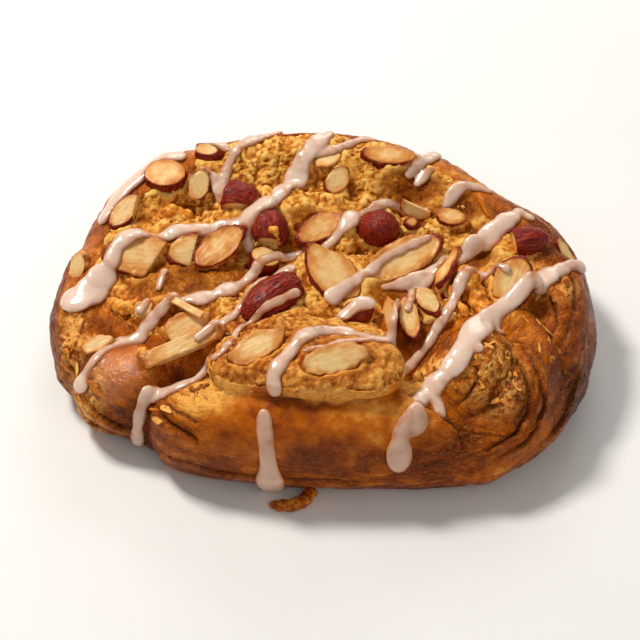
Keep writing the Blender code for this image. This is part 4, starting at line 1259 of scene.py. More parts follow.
@dataclass
class Crust:
    """The baked dough: rolls, folded flap, bun and claw, with the edges of their sheets.

    Attributes:
        voxel: Size of the mesh's cells, in mm.
        smoothing: Rounds of smoothing after fusing.
        swell: Height of the broad unevenness.
        terrace: Height of the steps from one layer to the next.
        terrace_width: Width of a layer between two steps.
        line: Height of the fine lines along the layers.
        ring: Half sizes of the oval that the rolls' layers run round.
        lap: Distance along the layers for each radian round that oval.
        roll_height: Height of the rolls' middle.
        roll_share: The rolls' middle as a share of the oval.
        girth: Distance across the layers for each radian round a roll.
        claw_middle: Middle of the claw, which its layers run round.
        claw_reach: How far from that middle they do.
        claw_depth: Its depth as a share of its width.
        claw_lap: Distance along its layers for each radian round it.
        claw_foot: Height that it starts at.
        flap_middle: Where the ridge of filling stands out furthest over the flap, across.
    """

    voxel: float = 0.65
    smoothing: int = 7
    swell: float = 0.55
    terrace: float = 0.38
    terrace_width: float = 2.7
    line: float = 0.08
    ring: tuple[float, float] = (72.0, 54.0)
    lap: float = 62.0
    roll_height: float = 13.0
    roll_share: float = 0.8
    girth: float = 14.0
    claw_middle: tuple[float, float] = (44.0, -32.0)
    claw_reach: float = 16.5
    claw_depth: float = 0.9
    claw_lap: float = 11.0
    claw_foot: float = 12.0
    flap_middle: float = 4.0
    finish: CrustFinish = field(default_factory=CrustFinish)

    def build(self, body: PastryBody, region: Piece,
              almonds: list[Piece]) -> Piece:
        """Fuses the dough, cuts the filling's space from it and beds the almonds."""
        piece = body.solid(self.voxel, self.smoothing)
        piece.name = "crust"
        combine(piece, region, "DIFFERENCE")
        bed_down(piece, almonds, 0.3, 6)
        self.shape_layers(piece)
        sink_under(piece, almonds, 0.5)
        return piece

    def weave(self, places: Field) -> Field:
        """Distances in mm along and across the layers, which run round the pastry and round the claw."""
        x, y, z = places.T
        wide, deep = self.ring
        ring = np.hypot(x / wide, y / deep)
        lengthwise = np.arctan2(y / deep, x / wide) * self.lap
        across = np.arctan2(z - self.roll_height, (ring - self.roll_share) * self.lap) * self.girth
        claw_x, claw_y = x - self.claw_middle[0], (y - self.claw_middle[1]) / self.claw_depth
        claw_ring = np.hypot(claw_x, claw_y)
        in_claw = (claw_ring < self.claw_reach) & (z > self.claw_foot)
        lengthwise = np.where(in_claw, np.arctan2(claw_y, claw_x) * self.claw_lap, lengthwise)
        across = np.where(in_claw, claw_ring, across)
        return np.stack([lengthwise, across, np.zeros(len(places))], axis=1)

    def shape_layers(self, piece: Piece) -> None:
        """Raises the sheets' edges and the fine layers, and stores how each place is baked, with painted
        light and shade, and the painted shade of its creases and dips.
        """
        places = places_of(piece)
        normals = normals_of(piece)
        weave = self.weave(places)
        washed = in_patches(places, EGG_WASHED, 0.4) * ramp_between(places[:, 2], 6.0, 14.0)
        # crease gathers painted shade: at the steps between layers, along the sheets' edges, under the
        # filling's lip and in the dips.
        lift, crease = self.layers(places, weave, washed)
        for edge in SHEET_EDGES.values():
            raised, dark = self.sheet_edge(places, normals, edge)
            lift += raised
            crease = np.maximum(crease, dark)
        flaky = self.flaky_share(places)
        lift += 0.6 * flaky * waves(places, (1.8, 1.8, 0.9), 2, 15.0)
        lip, shaded_under_lip = self.filling_lip(places)
        lift += 0.5 * lip - 0.3 * shaded_under_lip + 0.35 * lip * waves(places, (1.8, 1.8, 1.8), 2, 63.0)
        # Painted shadow in the groove under the lip.
        crease = np.maximum(crease, 0.5 * shaded_under_lip)
        above_base = ramp_between(places[:, 2], 0.0, 3.0)
        covered = in_patches(places, UNDER_FILLING, 0.2)
        move_to(piece, places + normals * (lift * above_base * (1 - covered))[:, None])
        gloss = in_patches(places, SHINY_BUN, 0.4) * ramp_between(places[:, 2], 13.0, 18.0)
        store(piece, "weave", weave)
        store(piece, "bake", self.baking_and_painted_light(places, normals, flaky, gloss))
        store(piece, "gloss", gloss)
        store(piece, "lip", lip)
        store(piece, "flaky", flaky)
        store(piece, "wash", washed)
        # Painted shade in the creases and dips, darkest where the surface is most hollow.
        dips = hollowness(piece, 6, 0.4)
        store(piece, "crease", np.clip(0.7 * crease + 0.35 * ramp_between(dips, 0.3, 1.0), 0.0, 1.0))

    def layers(self, places: Field, weave: Field, washed: Field) -> tuple[Field, Field]:
        """The lift of the broad unevenness, the steps between layers and the fine lines, and painted shade
        at each step.

        Args:
            places: Rows of places in mm.
            weave: Rows of distances along and across the layers.
            washed: How smooth with egg wash each place is.

        Returns:
            Lift along the normal in mm, and painted shade from 0 to 1.
        """
        drift = waves(weave, (13, 7, 1), 2, 12.0)
        phase = np.mod(weave[:, 1] / self.terrace_width + 1.1 * drift, 1.0)
        drop = ramp_between(phase, 0.8, 1.0)
        patchy = ramp_between(waves(places, (10, 10, 7), 2, 77.0), -0.25, 0.35) * (1 - 0.8 * washed)
        patchy += 0.15 * in_patches(places, CLAW_PATCH, 0.3)
        lift = self.swell * waves(places, (16, 16, 6))
        lift += self.terrace * patchy * (phase - drop)
        lift += self.line * waves(weave, (5, 1.1, 1), 2, 31.0) * (1 - 0.4 * washed)
        lift += 0.18 * waves(places, (2.2, 2.2, 1.4), 3, 7.0) * (1 - 0.4 * washed)
        return lift, 0.3 * patchy * ramp_between(phase, 0.82, 0.93) * (1 - ramp_between(phase, 0.93, 1.0))

    def baking_and_painted_light(self, places: Field, normals: Field, flaky: Field, gloss: Field) -> Field:
        """How brown each place is, from 0 to 1: darkest at the foot, at the ends and on the right side,
        paler high up and on the top of the flap; painted shade darkens the right side and painted light
        brightens the flap's shoulders.
        """
        low = 1 - ramp_between(places[:, 2], 1.0, 9.0)
        high = ramp_between(places[:, 2], 18.0, 30.0)
        tone = waves(places, (20, 20, 12), 2, 3.0)
        ends = ramp_between(np.abs(normals[:, 0]), 0.70, 0.95)
        ends *= ramp_between(np.abs(places[:, 0]), 64.0, 72.0)
        # Painted light on the shoulders; painted shade on the side turned from the light.
        lit_shoulders = in_patches(places, LIT_SHOULDERS, 0.6)
        shade_turned_away = in_patches(places, SHADED_RIGHT_SIDE, 0.4)
        top_of_flap = in_patches(places, FLAP_TOP, 0.6) * high
        bake = 0.60 + 0.22 * low - 0.10 * high + 0.3 * tone - 0.15 * flaky - 0.04 * gloss
        bake += 0.22 * ends - 0.45 * lit_shoulders + 0.18 * shade_turned_away - 0.14 * top_of_flap
        return np.clip(bake, 0.0, 1.0)

    def filling_lip(self, places: Field) -> tuple[Field, Field]:
        """Where the filling overlaps the crust under the ridge at the front, and the groove under it,
        darkened with painted shadow.
        """
        from_middle = places[:, 0] - self.flap_middle
        ends = 1 - ramp_between(np.abs(from_middle), 10.0, 19.0)
        bottom = 31.2 + 0.006 * from_middle**2 + 0.7 * waves(places, (5, 5, 5), 2, 61.0)
        in_front = ramp_between(-places[:, 1], 39.0, 41.0) * ends
        above = places[:, 2] - bottom
        return in_front * ramp_between(above, -0.5, 0.7), in_front * np.exp(-(((above + 0.6) / 0.5) ** 2))

    def flaky_share(self, places: Field) -> Field:
        """How much of each place is pale, broken flakes."""
        broken = ramp_between(waves(places, (3.0, 3.0, 1.6), 3, 50.0), -0.35, 0.15)
        return in_patches(places, FLAKY_PATCHES, 0.6) * broken

    def sheet_edge(self, places: Field, normals: Field, edge: SheetEdge) -> tuple[Field, Field]:
        """The lift, and the painted shade in the crease along it, that one sheet's edge gives each place.

        Args:
            places: Rows of places in mm.
            normals: Rows of surface normals.
            edge: The edge.

        Returns:
            Lift along the normal in mm, and painted shade from 0 to 1.
        """
        stations = stations_along(edge.points, 0.5, 3)
        finder = KDTree(len(stations))
        for i, station in enumerate(stations):
            finder.insert(station, i)
        finder.balance()
        route = np.array([s[:] for s in stations])
        runs = np.gradient(route, axis=0)
        runs /= np.linalg.norm(runs, axis=1)[:, None]
        margin = edge.reach * 2.5
        inside = (places > route.min(axis=0) - margin) & (places < route.max(axis=0) + margin)
        lift, dark = np.zeros(len(places)), np.zeros(len(places))
        for i in np.nonzero(inside.all(axis=1))[0]:
            _, j, gap = finder.find(places[i])
            if gap > margin:
                continue
            across = np.cross(normals[i], runs[j])
            side = float(np.dot(across, places[i] - route[j])) + 0.5 * noise.noise(Vector(places[i]) / 3.5)
            fade = min(1.0, 4 * j / len(route), 4 * (len(route) - 1 - j) / len(route))
            step = min(1.0, max(0.0, side / 0.4 + 0.5))
            held = math.exp(-((max(0.0, side) / edge.reach) ** 2))
            groove = math.exp(-(((side + 0.45) / 0.6) ** 2))
            lift[i] = fade * (edge.rise * step * held - 0.55 * edge.crease * groove)
            # Painted shade in the crease just outside the edge.
            dark[i] = fade * math.exp(-(((side + 0.35) / 0.42) ** 2))
        return lift, dark

    def dress(self, piece: Piece) -> None:
        """Hands the crust over in place of the dough."""
        hand_over(piece, self.finish.material(), "dough")


@dataclass
class Filling:
    """The baked almond filling: crumbly on its crests, smooth in its hollows.

    Attributes:
        voxel: Size of the mesh's cells, in mm.
        smoothing: Rounds of smoothing after fusing.
        swell: Height of its broad lumps.
        grain: Height of a crumb's grains.
        grain_sizes: Sizes of the coarse and of the fine grains.
        ridge_foot: Height of the line where the browned top of the ridge ends.
    """

    voxel: float = 0.5
    smoothing: int = 10
    swell: float = 1.4
    grain: float = 0.6
    grain_sizes: tuple[float, float] = (4.6, 2.0)
    ridge_foot: float = 33.9
    finish: FillingFinish = field(default_factory=FillingFinish)

    def build(self, body: PastryBody, region: Piece,
              almonds: list[Piece]) -> Piece:
        """Fuses the filling, beds the almonds and gives it its crumb."""
        piece = body.solid(self.voxel, self.smoothing)
        piece.name = "almond_filling"
        combine(piece, region, "INTERSECT")
        in_bmesh(piece, largest_island)
        bed_down(piece, almonds, 0.3, 8)
        self.shape_crumb(piece)
        sink_under(piece, almonds, 0.6)
        # Hollowness, which the material turns into painted shade.
        store(piece, "hollow_shade", hollowness(piece, 10, 0.45))
        return piece

    def shape_crumb(self, piece: Piece) -> None:
        """Raises lumps and grains, and stores where it is toasted, glazed and cream, and the painted shadow
        line under the ridge.
        """
        places = places_of(piece)
        normals = normals_of(piece)
        smooth = in_patches(places, HOLLOWS)
        coarse = in_patches(places, CRUMB_FIELDS, 0.6)
        upwards = ramp_between(normals[:, 2], -0.1, 0.4)
        front = self.cream_share(places, normals)
        patchy = ramp_between(waves(places, (7, 7, 7), 2, 21.0), -0.4, 0.3)
        on_ridge = in_patches(places, RIDGE_PATCH, 0.3)
        crumbly = np.clip(0.45 + 0.75 * coarse - 1.1 * smooth, 0.0, 1.0) * (0.4 + 0.6 * patchy)
        crumbly *= (1 - 0.8 * front) * (1 - 0.45 * on_ridge)
        bent = places + 2.1 * waves_each_way(places, 3.5, 3, (0, 30, 60))
        lift = self.swell * waves(places, (8, 8, 8), 2) * upwards * (1 - 0.6 * smooth)
        lift += self.grain * crumbly * 1.7 * (grains(bent, self.grain_sizes[0]) - 0.5)
        lift += self.grain * crumbly * 0.8 * (grains(bent, self.grain_sizes[1], 9.0) - 0.5)
        rough = (0.45 + 0.55 * crumbly) * (1 - 0.6 * front)
        lift += 0.6 * waves(places, (1.6, 1.6, 1.6), 3, 5.0) * rough
        lift -= 0.8 * smooth
        # A groove along the foot of the ridge's browned top, also darkened there as a painted shadow line.
        shaded_seam = self.seam_share(places, normals)
        lift -= 0.7 * shaded_seam
        move_to(piece, places + normals * lift[:, None])
        toast = in_patches(places, TOASTED_PATCHES, 0.6) * (0.85 + 0.5 * waves(places, (7, 7, 7), 2, 66.0))
        store(piece, "toast", np.clip(toast, 0.0, 1.0))
        store(piece, "glaze", np.clip(smooth * 1.1, 0.0, 1.0))
        store(piece, "cream", front)
        store(piece, "shaded_seam", shaded_seam)

    def cream_share(self, places: Field, normals: Field) -> Field:
        """How much of each place is the unbrowned band under the ridge at the front."""
        facing = ramp_between(-normals[:, 1], 0.1, 0.5)
        facing *= 1 - ramp_between(self.seam_height(places), -0.3, 0.5)
        in_front = ramp_between(-places[:, 1], 36.0, 39.0)
        return facing * in_front * ramp_between(places[:, 0], -14.0, -8.0)

    def seam_height(self, places: Field) -> Field:
        """Height in mm over the line where the browned top of the ridge ends."""
        return places[:, 2] - self.ridge_foot - 0.6 * waves(places, (5, 5, 5), 1, 52.0)

    def seam_share(self, places: Field, normals: Field) -> Field:
        """How near each place is to that line, which is grooved and darkened as a painted shadow line."""
        near = np.exp(-((self.seam_height(places) / 0.45) ** 2)) * ramp_between(-normals[:, 1], 0.2, 0.6)
        return near * ramp_between(-places[:, 1], 36.0, 39.0) * ramp_between(places[:, 0], -20.0, -10.0)

    def dress(self, piece: Piece) -> None:
        """Hands the filling over in place of its solid."""
        hand_over(piece, self.finish.material(), "filling")


@dataclass
class Almonds:
    """Every piece of almond, cut from a whole one and browned at its edges.

    Attributes:
        taper: How much narrower an almond gets towards its point.
        voxel: Size of the meshes' cells, in mm.
        wrinkle: Depth of the skin's wrinkles.
        warp: How far the thin slices are bent out of flat.
        thin_below: Thickness under which a piece is a slice, whose underside is raised.
        thinning: The share of a slice's thickness that is kept under its top.
        catch: Distance in metres at which a vertex counts as on a cut.
    """

    taper: float = 0.42
    voxel: float = 0.3
    wrinkle: float = 0.22
    warp: float = 0.5
    thin_below: float = 4.2
    thinning: float = 0.8
    catch: float = 1e-6
    finish: AlmondFinish = field(default_factory=AlmondFinish)

    def build(self) -> list[Piece]:
        """Makes every almond as laid out on the sheet."""
        return [self.cut(name, *almond) for name, almond in ALMONDS.items()]

    def cut(self, name: str, size: Triple, layer: tuple[float, float], cuts: list[tuple[float, float]],
            place: Triple, turns: Triple) -> Piece:
        """Makes one almond.

        Args:
            name: The solid that it is shown in place of.
            size: The whole almond's length, width and thickness.
            layer: Heights between which it is kept.
            cuts: Upright cuts: the way each faces, in degrees, and its distance from the middle.
            place: Where its middle comes to lie.
            turns: Its turn in its own plane, its tip to the front and its tip to the right.

        Returns:
            The piece, named for its solid.
        """
        mesh = bmesh.new()
        lengthwise = Matrix.Rotation(math.pi / 2, 4, "Y")
        bmesh.ops.create_uvsphere(mesh, u_segments=40, v_segments=28, radius=1.0, matrix=lengthwise)
        half = Vector(size) / 2
        for vert in mesh.verts:
            x, y, z = vert.co
            narrow = 1 - self.taper * max(0.0, x) ** 2
            vert.co = Vector((x * half.x, y * narrow * half.y, z * narrow * half.z)) * MM
        if layer[1] - layer[0] < self.thin_below:
            layer = (layer[1] - self.thinning * (layer[1] - layer[0]), layer[1])
        cut_flat(mesh, -UP, -layer[0], self.catch)
        cut_flat(mesh, UP, layer[1], self.catch)
        for facing, offset in cuts:
            angle = math.radians(facing)
            cut_flat(mesh, Vector((math.cos(angle), math.sin(angle), 0)), offset, self.catch)
        piece = new_object(mesh, name + "_nut")
        fuse(piece, self.voxel, 2)
        self.detail(piece, name, half)
        turn, to_front, to_right = (math.radians(angle) for angle in turns)
        tipped = Matrix.Rotation(to_front, 4, "X") @ Matrix.Rotation(to_right, 4, "Y")
        turned = Matrix.Rotation(turn, 4, "Z")
        piece.data.transform(Matrix.Translation(Vector(place) * MM) @ tipped @ turned)
        return piece

    def detail(self, piece: Piece, name: str, half: Vector) -> None:
        """Wrinkles the skin, bends and chips the slice, and stores where skin, rim and flesh are."""
        places = places_of(piece)
        normals = normals_of(piece)
        shift = (sum(map(ord, name)) % 97) * 1.7
        narrow = 1 - self.taper * np.clip(places[:, 0] / half.x, 0, 1) ** 2
        x, y, z = places.T
        shares = np.stack([x / half.x, y / (half.y * narrow), z / (half.z * narrow)], axis=1)
        reach = np.linalg.norm(shares, axis=1)
        outward = shares / np.array([half.x, half.y, half.z])
        outward /= np.linalg.norm(outward, axis=1)[:, None] + 1e-9
        facing = (outward * normals).sum(axis=1)
        skin = ramp_between(reach, 0.86, 0.95) * ramp_between(facing, 0.35, 0.75)
        sliced = name.startswith(("slice", "chip", "splinter", "stick"))
        if name in BARE_ALMONDS:
            skin *= 0.15
        elif sliced:
            skin *= ramp_between(waves(places, (8, 7, 4), 2, shift + 20), -0.25, 0.05)
        lengthwise = waves(places, (8, 0.8, 0.8), 2, shift)
        lift = -self.wrinkle * skin * lengthwise * (1.5 if name == "broken_dark_middle" else 0.7)
        lift += 0.09 * (1 - skin) * waves(places, (2.5, 0.8, 0.8), 2, shift + 4)
        ragged = ramp_between(reach, 0.75, 1.0) * (0.75 if sliced else 0.3)
        lift += ragged * waves(places, (3.0, 3.0, 3.0), 3, shift + 8)
        places = places + normals * lift[:, None]
        flat = 1 if piece.dimensions.z < 4.5 * MM else 0
        places[:, 2] += flat * self.warp * waves(places * np.array([1, 1, 0]), (9, 7, 9), 1, shift)
        move_to(piece, places)
        store(piece, "nut", places + shift)
        store(piece, "skin", skin)
        uneven = reach + 0.16 * waves(places, (2.5, 2.5, 2.5), 2, shift)
        uneven += 0.10 * waves(places, (9, 9, 9), 1, shift)
        store(piece, "rim", 0.7 * ramp_between(uneven, 0.90, 1.04))
        store(piece, "worn", ramp_between(uneven, 0.4, 0.95) - 0.4 + 0.4 * math.sin(shift))

    def dress(self, pieces: list[Piece]) -> None:
        """Hands the almonds over, each in place of its solid."""
        material = self.finish.material()
        for piece in pieces:
            node = piece.name.removesuffix("_nut")
            hand_over(piece, material, node)


@dataclass
class Icing:
    """Strands, drops and drips of icing that lie on all that is under them.

    Attributes:
        step: Distance between the balls that a strand is made of, in mm.
        voxel: Size of the mesh's cells, in mm.
        smoothing: Rounds of smoothing after fusing.
        widening: How much wider than its table's half width a strand is.
        flatness: A very thin strand's half height as a share of its half width.
        flattening: How much smaller that share is for every mm of half width.
        flattest: The smallest share.
        raised: How far its middle stands off the surface, as a share of its half width.
        bridging: Distance over which a strand spans the dips under it, in mm.
        sag: How far down into a dip it hangs, from 0 to 1.
        unevenness: How much its width varies, as a share.
        swell_length: Distance over which its width varies, in mm.
    """

    step: float = 0.8
    voxel: float = 0.42
    smoothing: int = 5
    widening: float = 1.16
    flatness: float = 0.63
    flattening: float = 0.07
    flattest: float = 0.3
    raised: float = 0.08
    bridging: float = 2.4
    sag: float = 0.65
    unevenness: float = 0.38
    swell_length: float = 3.4
    finish: IcingFinish = field(default_factory=IcingFinish)

    def build(self, tree: BVHTree) -> Piece:
        """Lays every strand and fuses them."""
        mesh = bmesh.new()
        self.stamp = Stamp(2)
        for seed, points in enumerate(ICING.values()):
            self.lay(mesh, points, Sight.FROM_ABOVE, tree, seed)
        for seed, points in enumerate(DRIPS.values()):
            self.lay(mesh, points, Sight.FROM_FRONT, tree, 40 + seed)
        piece = new_object(mesh, "icing")
        fuse(piece, self.voxel, self.smoothing)
        places = places_of(piece)
        places[:, 2] = np.maximum(places[:, 2], 0.0)
        move_to(piece, places)
        self.store_thinness(piece, tree)
        return piece

    def drop(self, row: Vector, sight: Sight, tree: BVHTree) -> tuple[Optional[Vector], Optional[Vector]]:
        """Where a point of a route lands on the pastry, and the normal there."""
        if sight is Sight.FROM_ABOVE:
            return drop_onto(tree, row[0], row[1])
        return tree.ray_cast(Vector((row[0], -OVERHEAD, row[1])) * MM, Vector((0, 1, 0)))[:2]

    def lay(self, mesh: BMesh, points: Route, sight: Sight, tree: BVHTree, seed: int) -> None:
        """Adds one strand as a chain of flattened balls.

        Args:
            mesh: The bmesh that it is added to.
            points: Its route, each point with its half width.
            sight: Which way the route is dropped onto the pastry.
            tree: What it lies on.
            seed: Tells its uneven width from the other strands'.
        """
        spots, normals, halves = [], [], []
        for row in stations_along(points, self.step, 2):
            spot, normal = self.drop(row, sight, tree)
            if spot is not None:
                spots.append(spot / MM)
                normals.append(normal)
                halves.append(row[2])
        window = max(1, round(self.bridging / self.step))
        rows: list[Vector] = []
        for i, half in enumerate(halves):
            around = range(max(0, i - window), min(len(spots), i + window + 1))
            middle = sum((spots[j] for j in around), Vector()) / len(around)
            normal = sum((normals[j] for j in around), Vector()).normalized()
            spot = spots[i].copy()
            if sight is Sight.FROM_ABOVE:
                spot.z = max(middle.z, (1 - self.sag) * middle.z + self.sag * spot.z)
            else:
                spot.y = min(middle.y, (1 - self.sag) * middle.y + self.sag * spot.y)
            uneven = noise.noise(Vector((i * self.step / self.swell_length, seed * 7.3, 0)))
            wide = half * self.widening * (1 + self.unevenness * uneven)
            rows.append(Vector((*(spot + normal * self.raised * wide), *normal, wide)))
        for start, end in zip(rows, rows[1:]):
            steps = max(1, round((Vector(end[:3]) - Vector(start[:3])).length / self.step))
            for i in range(steps):
                self.add_bead(mesh, start.lerp(end, i / steps))
        self.add_bead(mesh, rows[-1])

    def add_bead(self, mesh: BMesh, row: Vector) -> None:
        """Adds one flattened ball of a strand, from a row of its middle, facing and half width."""
        wide = row[6] * MM
        share = max(self.flattest, self.flatness - self.flattening * row[6])
        turned = Vector(row[3:6]).to_track_quat("Z", "Y").to_matrix().to_4x4()
        scale = Matrix.Diagonal((wide, wide, wide * share, 1.0))
        self.stamp.press(mesh, Matrix.Translation(Vector(row[:3]) * MM) @ turned @ scale)

    def store_thinness(self, piece: Piece, tree: BVHTree) -> None:
        """Stores how thin the icing is at each vertex, and how watery where it drips down the front."""
        gaps = np.array([tree.find_nearest(v.co)[3] / MM for v in piece.data.vertices])
        dripping = ramp_between(-places_of(piece)[:, 1], 42.0, 47.0)
        store(piece, "thinness", np.clip(1 - ramp_between(gaps, 0.0, 1.5) + 0.4 * dripping, 0.0, 1.0))

    def dress(self, piece: Piece) -> None:
        """Hands the icing over."""
        hand_over(piece, self.finish.material())


@dataclass
class Crumbs:
    """Loose grains on the filling.

    Attributes:
        count: Grains on each of the crumb fields.
        radius: Smallest and largest grain, in mm.
        seed: Starts the draw.
    """

    count: int = 22
    radius: tuple[float, float] = (0.25, 0.75)
    seed: int = 5

    def build(self, tree: BVHTree) -> Piece:
        """Scatters the grains as one mesh."""
        draw = random.Random(self.seed)
        mesh = bmesh.new()
        stamp = Stamp(2)
        tones: list[float] = []
        for patch in CRUMB_FIELDS:
            for _ in range(self.count):
                hit = drop_onto(tree, *draw_in_patch(draw, patch))[0]
                if hit is not None:
                    stamp.press(mesh, self.grain_place(hit, draw))
                    tones.append(draw.random())
        piece = new_object(mesh, "loose_crumbs")
        places = places_of(piece)
        move_to(piece, places + 0.22 * waves_each_way(places, 0.7, 1, (0, 40, 80)))
        store(piece, "shade", np.repeat(tones, len(stamp.shape.vertices)))
        return piece

    def grain_place(self, spot: Vector, draw: random.Random) -> Matrix:
        """The size, turn and place of one uneven grain."""
        size = draw.uniform(*self.radius) * MM
        turned = Matrix.Rotation(draw.uniform(0, math.tau), 4, Vector((draw.random(), draw.random(), 0.3)))
        scale = Matrix.Diagonal((size, size * draw.uniform(0.6, 1.0), size * draw.uniform(0.5, 0.9), 1.0))
        return Matrix.Translation(spot + UP * size * 0.2) @ turned @ scale

    def dress(self, piece: Piece) -> None:
        """Hands the grains over."""
        hand_over(piece, FILLING_CRUMBS.material())


@dataclass
class Flakes:
    """Thin broken flakes that stand up from the crust.

    Attributes:
        length: Shortest and longest half length, in mm.
        width: Narrowest and widest half width.
        thickness: Half thickness of a flake.
        lean: Greatest angle off the surface, in degrees.
        scatter: Spread of their turns away from the run of the layers, in degrees.
        seed: Starts the draw.
    """

    length: tuple[float, float] = (1.4, 3.8)
    width: tuple[float, float] = (0.35, 1.1)
    thickness: float = 0.07
    lean: float = 16.0
    scatter: float = 28.0
    seed: int = 23

    def build(self, tree: BVHTree) -> Piece:
        """Scatters the flakes as one mesh."""
        draw = random.Random(self.seed)
        mesh = bmesh.new()
        stamp = Stamp(2)
        tones: list[float] = []
        for *patch, count in FLAKE_FIELDS:
            for _ in range(count):
                hit, normal = drop_onto(tree, *draw_in_patch(draw, patch))
                if hit is not None:
                    stamp.press(mesh, self.flake_place(hit, normal, draw))
                    tones.append(draw.random())
        piece = new_object(mesh, "crust_flakes")
        places = places_of(piece)
        move_to(piece, places + 0.4 * waves_each_way(places, 2.0, 2, (0, 40, 80)))
        store(piece, "shade", np.repeat(tones, len(stamp.shape.vertices)))
        return piece

    def flake_place(self, spot: Vector, normal: Vector, draw: random.Random) -> Matrix:
        """The size, lean and place of one flake, which runs roughly along the layers."""
        middle = Vector((*Crust.claw_middle, 0)) if spot.x > 0.02 and spot.y < -0.01 else Vector()
        side = normal.cross(UP.cross(spot - middle * MM)).normalized()
        facing = Matrix((side.cross(normal), side, normal)).transposed().to_4x4()
        leaning = Matrix.Rotation(math.radians(draw.uniform(-self.lean, self.lean)), 4, "X")
        turned = Matrix.Rotation(math.radians(draw.gauss(0, self.scatter)), 4, "Z")
        half_sizes = Vector((draw.uniform(*self.length), draw.uniform(*self.width), self.thickness)) * MM
        return Matrix.Translation(spot) @ facing @ turned @ leaning @ Matrix.Diagonal((*half_sizes, 1.0))

    def dress(self, piece: Piece) -> None:
        """Hands the flakes over."""
        hand_over(piece, CRUST_FLAKES.material())


@dataclass
class Morsels:
    """Baked lumps on the pastry, and the fragment that lies at the foot of a drip.

    Attributes:
        step: Distance between the balls of a lump, in mm.
        voxel: Size of the mesh's cells.
        roughness: Height of its crumb.
    """

    step: float = 0.8
    voxel: float = 0.38
    roughness: float = 0.6

    def build(self, tree: BVHTree) -> Piece:
        """Makes all the lumps as one mesh."""
        mesh = bmesh.new()
        stamp = Stamp(2)
        for points in MORSELS.values():
            for x, y, half in stations_along(points, self.step, 2):
                hit = drop_onto(tree, x, y)[0]
                stamp.ball(mesh, (x, y, hit.z / MM + 0.45 * half), (half, half, 0.85 * half))
        for x, y, half in stations_along(FLOOR_FRAGMENT, self.step, 2):
            stamp.ball(mesh, (x, y, 0.9 * half), (half, half, half))
        piece = new_object(mesh, "baked_lumps")
        fuse(piece, self.voxel, 2)
        places = places_of(piece)
        lift = 1.1 * self.roughness * waves(places, (2.6, 2.6, 2.6), 3, 12.0)
        lift += self.roughness * (grains(places, 2.1, 4.0) - 0.5)
        places += normals_of(piece) * lift[:, None]
        places[:, 2] = np.maximum(places[:, 2], 0.0)
        move_to(piece, places)
        # Darker in the lumps' dips: painted shade.
        tone = 0.5 + 0.3 * waves(places, (3, 3, 3), 2, 44.0) + 0.3 * hollowness(piece, 6, 0.4)
        tone += 0.3 * ramp_between(-places[:, 1], 45.0, 50.0)
        store(piece, "shade", np.clip(tone, 0.0, 1.0))
        return piece

    def dress(self, piece: Piece) -> None:
        """Hands the lumps over."""
        hand_over(piece, BAKED_LUMPS.material())


@dataclass(frozen=True)
class Light:
    """A square lamp that faces the pastry.

    Attributes:
        place: Where it hangs, in metres.
        size: Width of its square, in metres.
        power: Its power, in watts.
        colour: Its colour.
    """

    place: Triple
    size: float
    power: float
    colour: Triple


# A key light from the back left, and soft light from the front and the back.
LIGHTS: dict[str, Light] = {
    "key_light": Light((-0.36, 0.25, 0.70), 0.17, 5.6, (1.0, 0.95, 0.87)),
    "fill_light": Light((0.30, -0.70, 0.55), 0.9, 1.7, (1.0, 0.94, 0.86)),
    "back_light": Light((0.15, 0.75, 0.50), 0.45, 2.2, (1.0, 0.96, 0.9)),
}


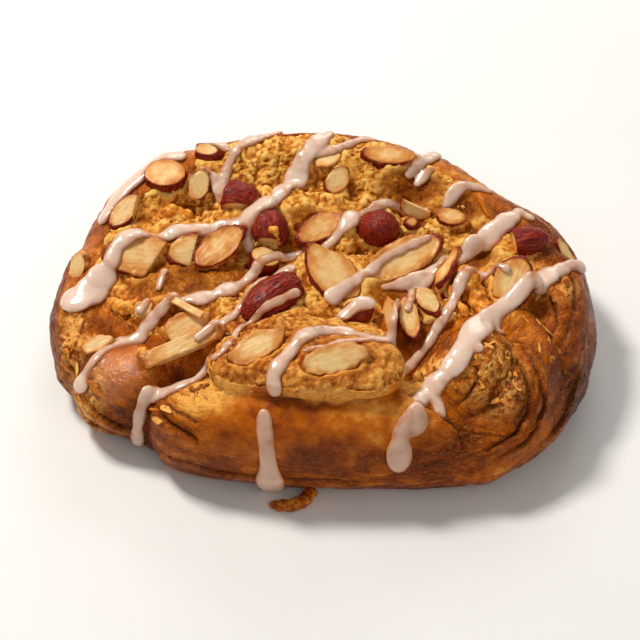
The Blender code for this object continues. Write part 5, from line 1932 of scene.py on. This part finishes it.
@dataclass
class Setting:
    """Pale floor, soft studio light and the camera.

    Attributes:
        elevation: The camera's angle above the horizon, in degrees.
        distance: From the camera to its target, in metres.
        lens: Focal length in mm.
        target: The place that it looks at.
        floor_size: Half width of the floor, in metres.
        floor_tones: The floor's darkest and palest grey.
        sky: Colour of the even light from all round.
        sky_strength: Strength of that light.
    """

    elevation: float = 47.0
    distance: float = 0.60
    lens: float = 119.5
    target: Triple = (-0.0008, -0.0032, 0.0165)
    floor_size: float = 3.0
    floor_tones: tuple[float, float] = (0.86, 0.89)
    sky: Colour = (1.0, 0.97, 0.93, 1.0)
    sky_strength: float = 0.26

    def build(self) -> None:
        """Makes the floor, the lights and the camera."""
        self.lay_floor()
        self.hang_lights()
        self.stand_camera()

    def lay_floor(self) -> None:
        """A large pale sheet."""
        mesh = bmesh.new()
        bmesh.ops.create_grid(mesh, x_segments=1, y_segments=1, size=self.floor_size)
        floor = new_object(mesh, "floor")
        paint = Paint("pale_floor")
        paint.set(roughness=0.7)
        clouds = paint.noise(paint.place(80.0), detail=2.0)
        dark, pale = ((tone, tone, tone, 1.0) for tone in self.floor_tones)
        floor.data.materials.append(paint.dress(base_color=paint.ramp(clouds, [(0.3, dark), (0.7, pale)])))

    def hang_lights(self) -> None:
        """The lights and an even sky."""
        for name, light in LIGHTS.items():
            self.hang(name, light)
        world = bpy.data.worlds.new("studio")
        world.use_nodes = True
        background = world.node_tree.nodes["Background"]
        background.inputs["Color"].default_value = self.sky
        background.inputs["Strength"].default_value = self.sky_strength
        bpy.context.scene.world = world

    def hang(self, name: str, light: Light) -> None:
        """Hangs one light so that it faces the pastry."""
        data = bpy.data.lights.new(name, "AREA")
        data.energy = light.power
        data.size = light.size
        data.color = light.colour
        lamp = bpy.data.objects.new(name, data)
        lamp.location = light.place
        lamp.rotation_euler = (Vector(light.place) - Vector(self.target)).to_track_quat("Z", "Y").to_euler()
        bpy.context.scene.collection.objects.link(lamp)

    def stand_camera(self) -> None:
        """The camera in front of the pastry, looking down on it."""
        angle = math.radians(self.elevation)
        back = Vector((0, -math.cos(angle), math.sin(angle)))
        camera = bpy.data.objects.new("camera", bpy.data.cameras.new("camera"))
        camera.data.lens = self.lens
        camera.data.clip_end = 20.0
        camera.location = Vector(self.target) + back * self.distance
        camera.rotation_euler = (-back).to_track_quat("-Z", "Y").to_euler()
        bpy.context.scene.collection.objects.link(camera)
        bpy.context.scene.camera = camera
        bpy.context.scene.view_settings.view_transform = "Standard"


def main() -> None:
    """Builds the pastry's looks from the inside out."""
    logging.basicConfig(level=logging.INFO, format="%(name)s %(message)s")
    body = PastryBody()
    region = body.filling_region()
    almond_maker = Almonds()
    almonds = almond_maker.build()
    crust_maker = Crust()
    crust = crust_maker.build(body, region, almonds)
    filling_maker = Filling()
    filling = filling_maker.build(body, region, almonds)
    bpy.data.objects.remove(region)
    crumb_maker = Crumbs()
    crumbs = crumb_maker.build(tree_of([filling]))
    morsel_maker = Morsels()
    morsels = morsel_maker.build(tree_of([crust, filling, *almonds]))
    flake_maker = Flakes()
    flakes = flake_maker.build(tree_of([crust]))
    icing_maker = Icing()
    icing = icing_maker.build(tree_of([crust, filling, morsels, *almonds]))
    bpy.data.objects.remove(body.shapes)
    crust_maker.dress(crust)
    filling_maker.dress(filling)
    almond_maker.dress(almonds)
    crumb_maker.dress(crumbs)
    morsel_maker.dress(morsels)
    flake_maker.dress(flakes)
    icing_maker.dress(icing)
    Setting().build()


if __name__ == "__main__":
    main()
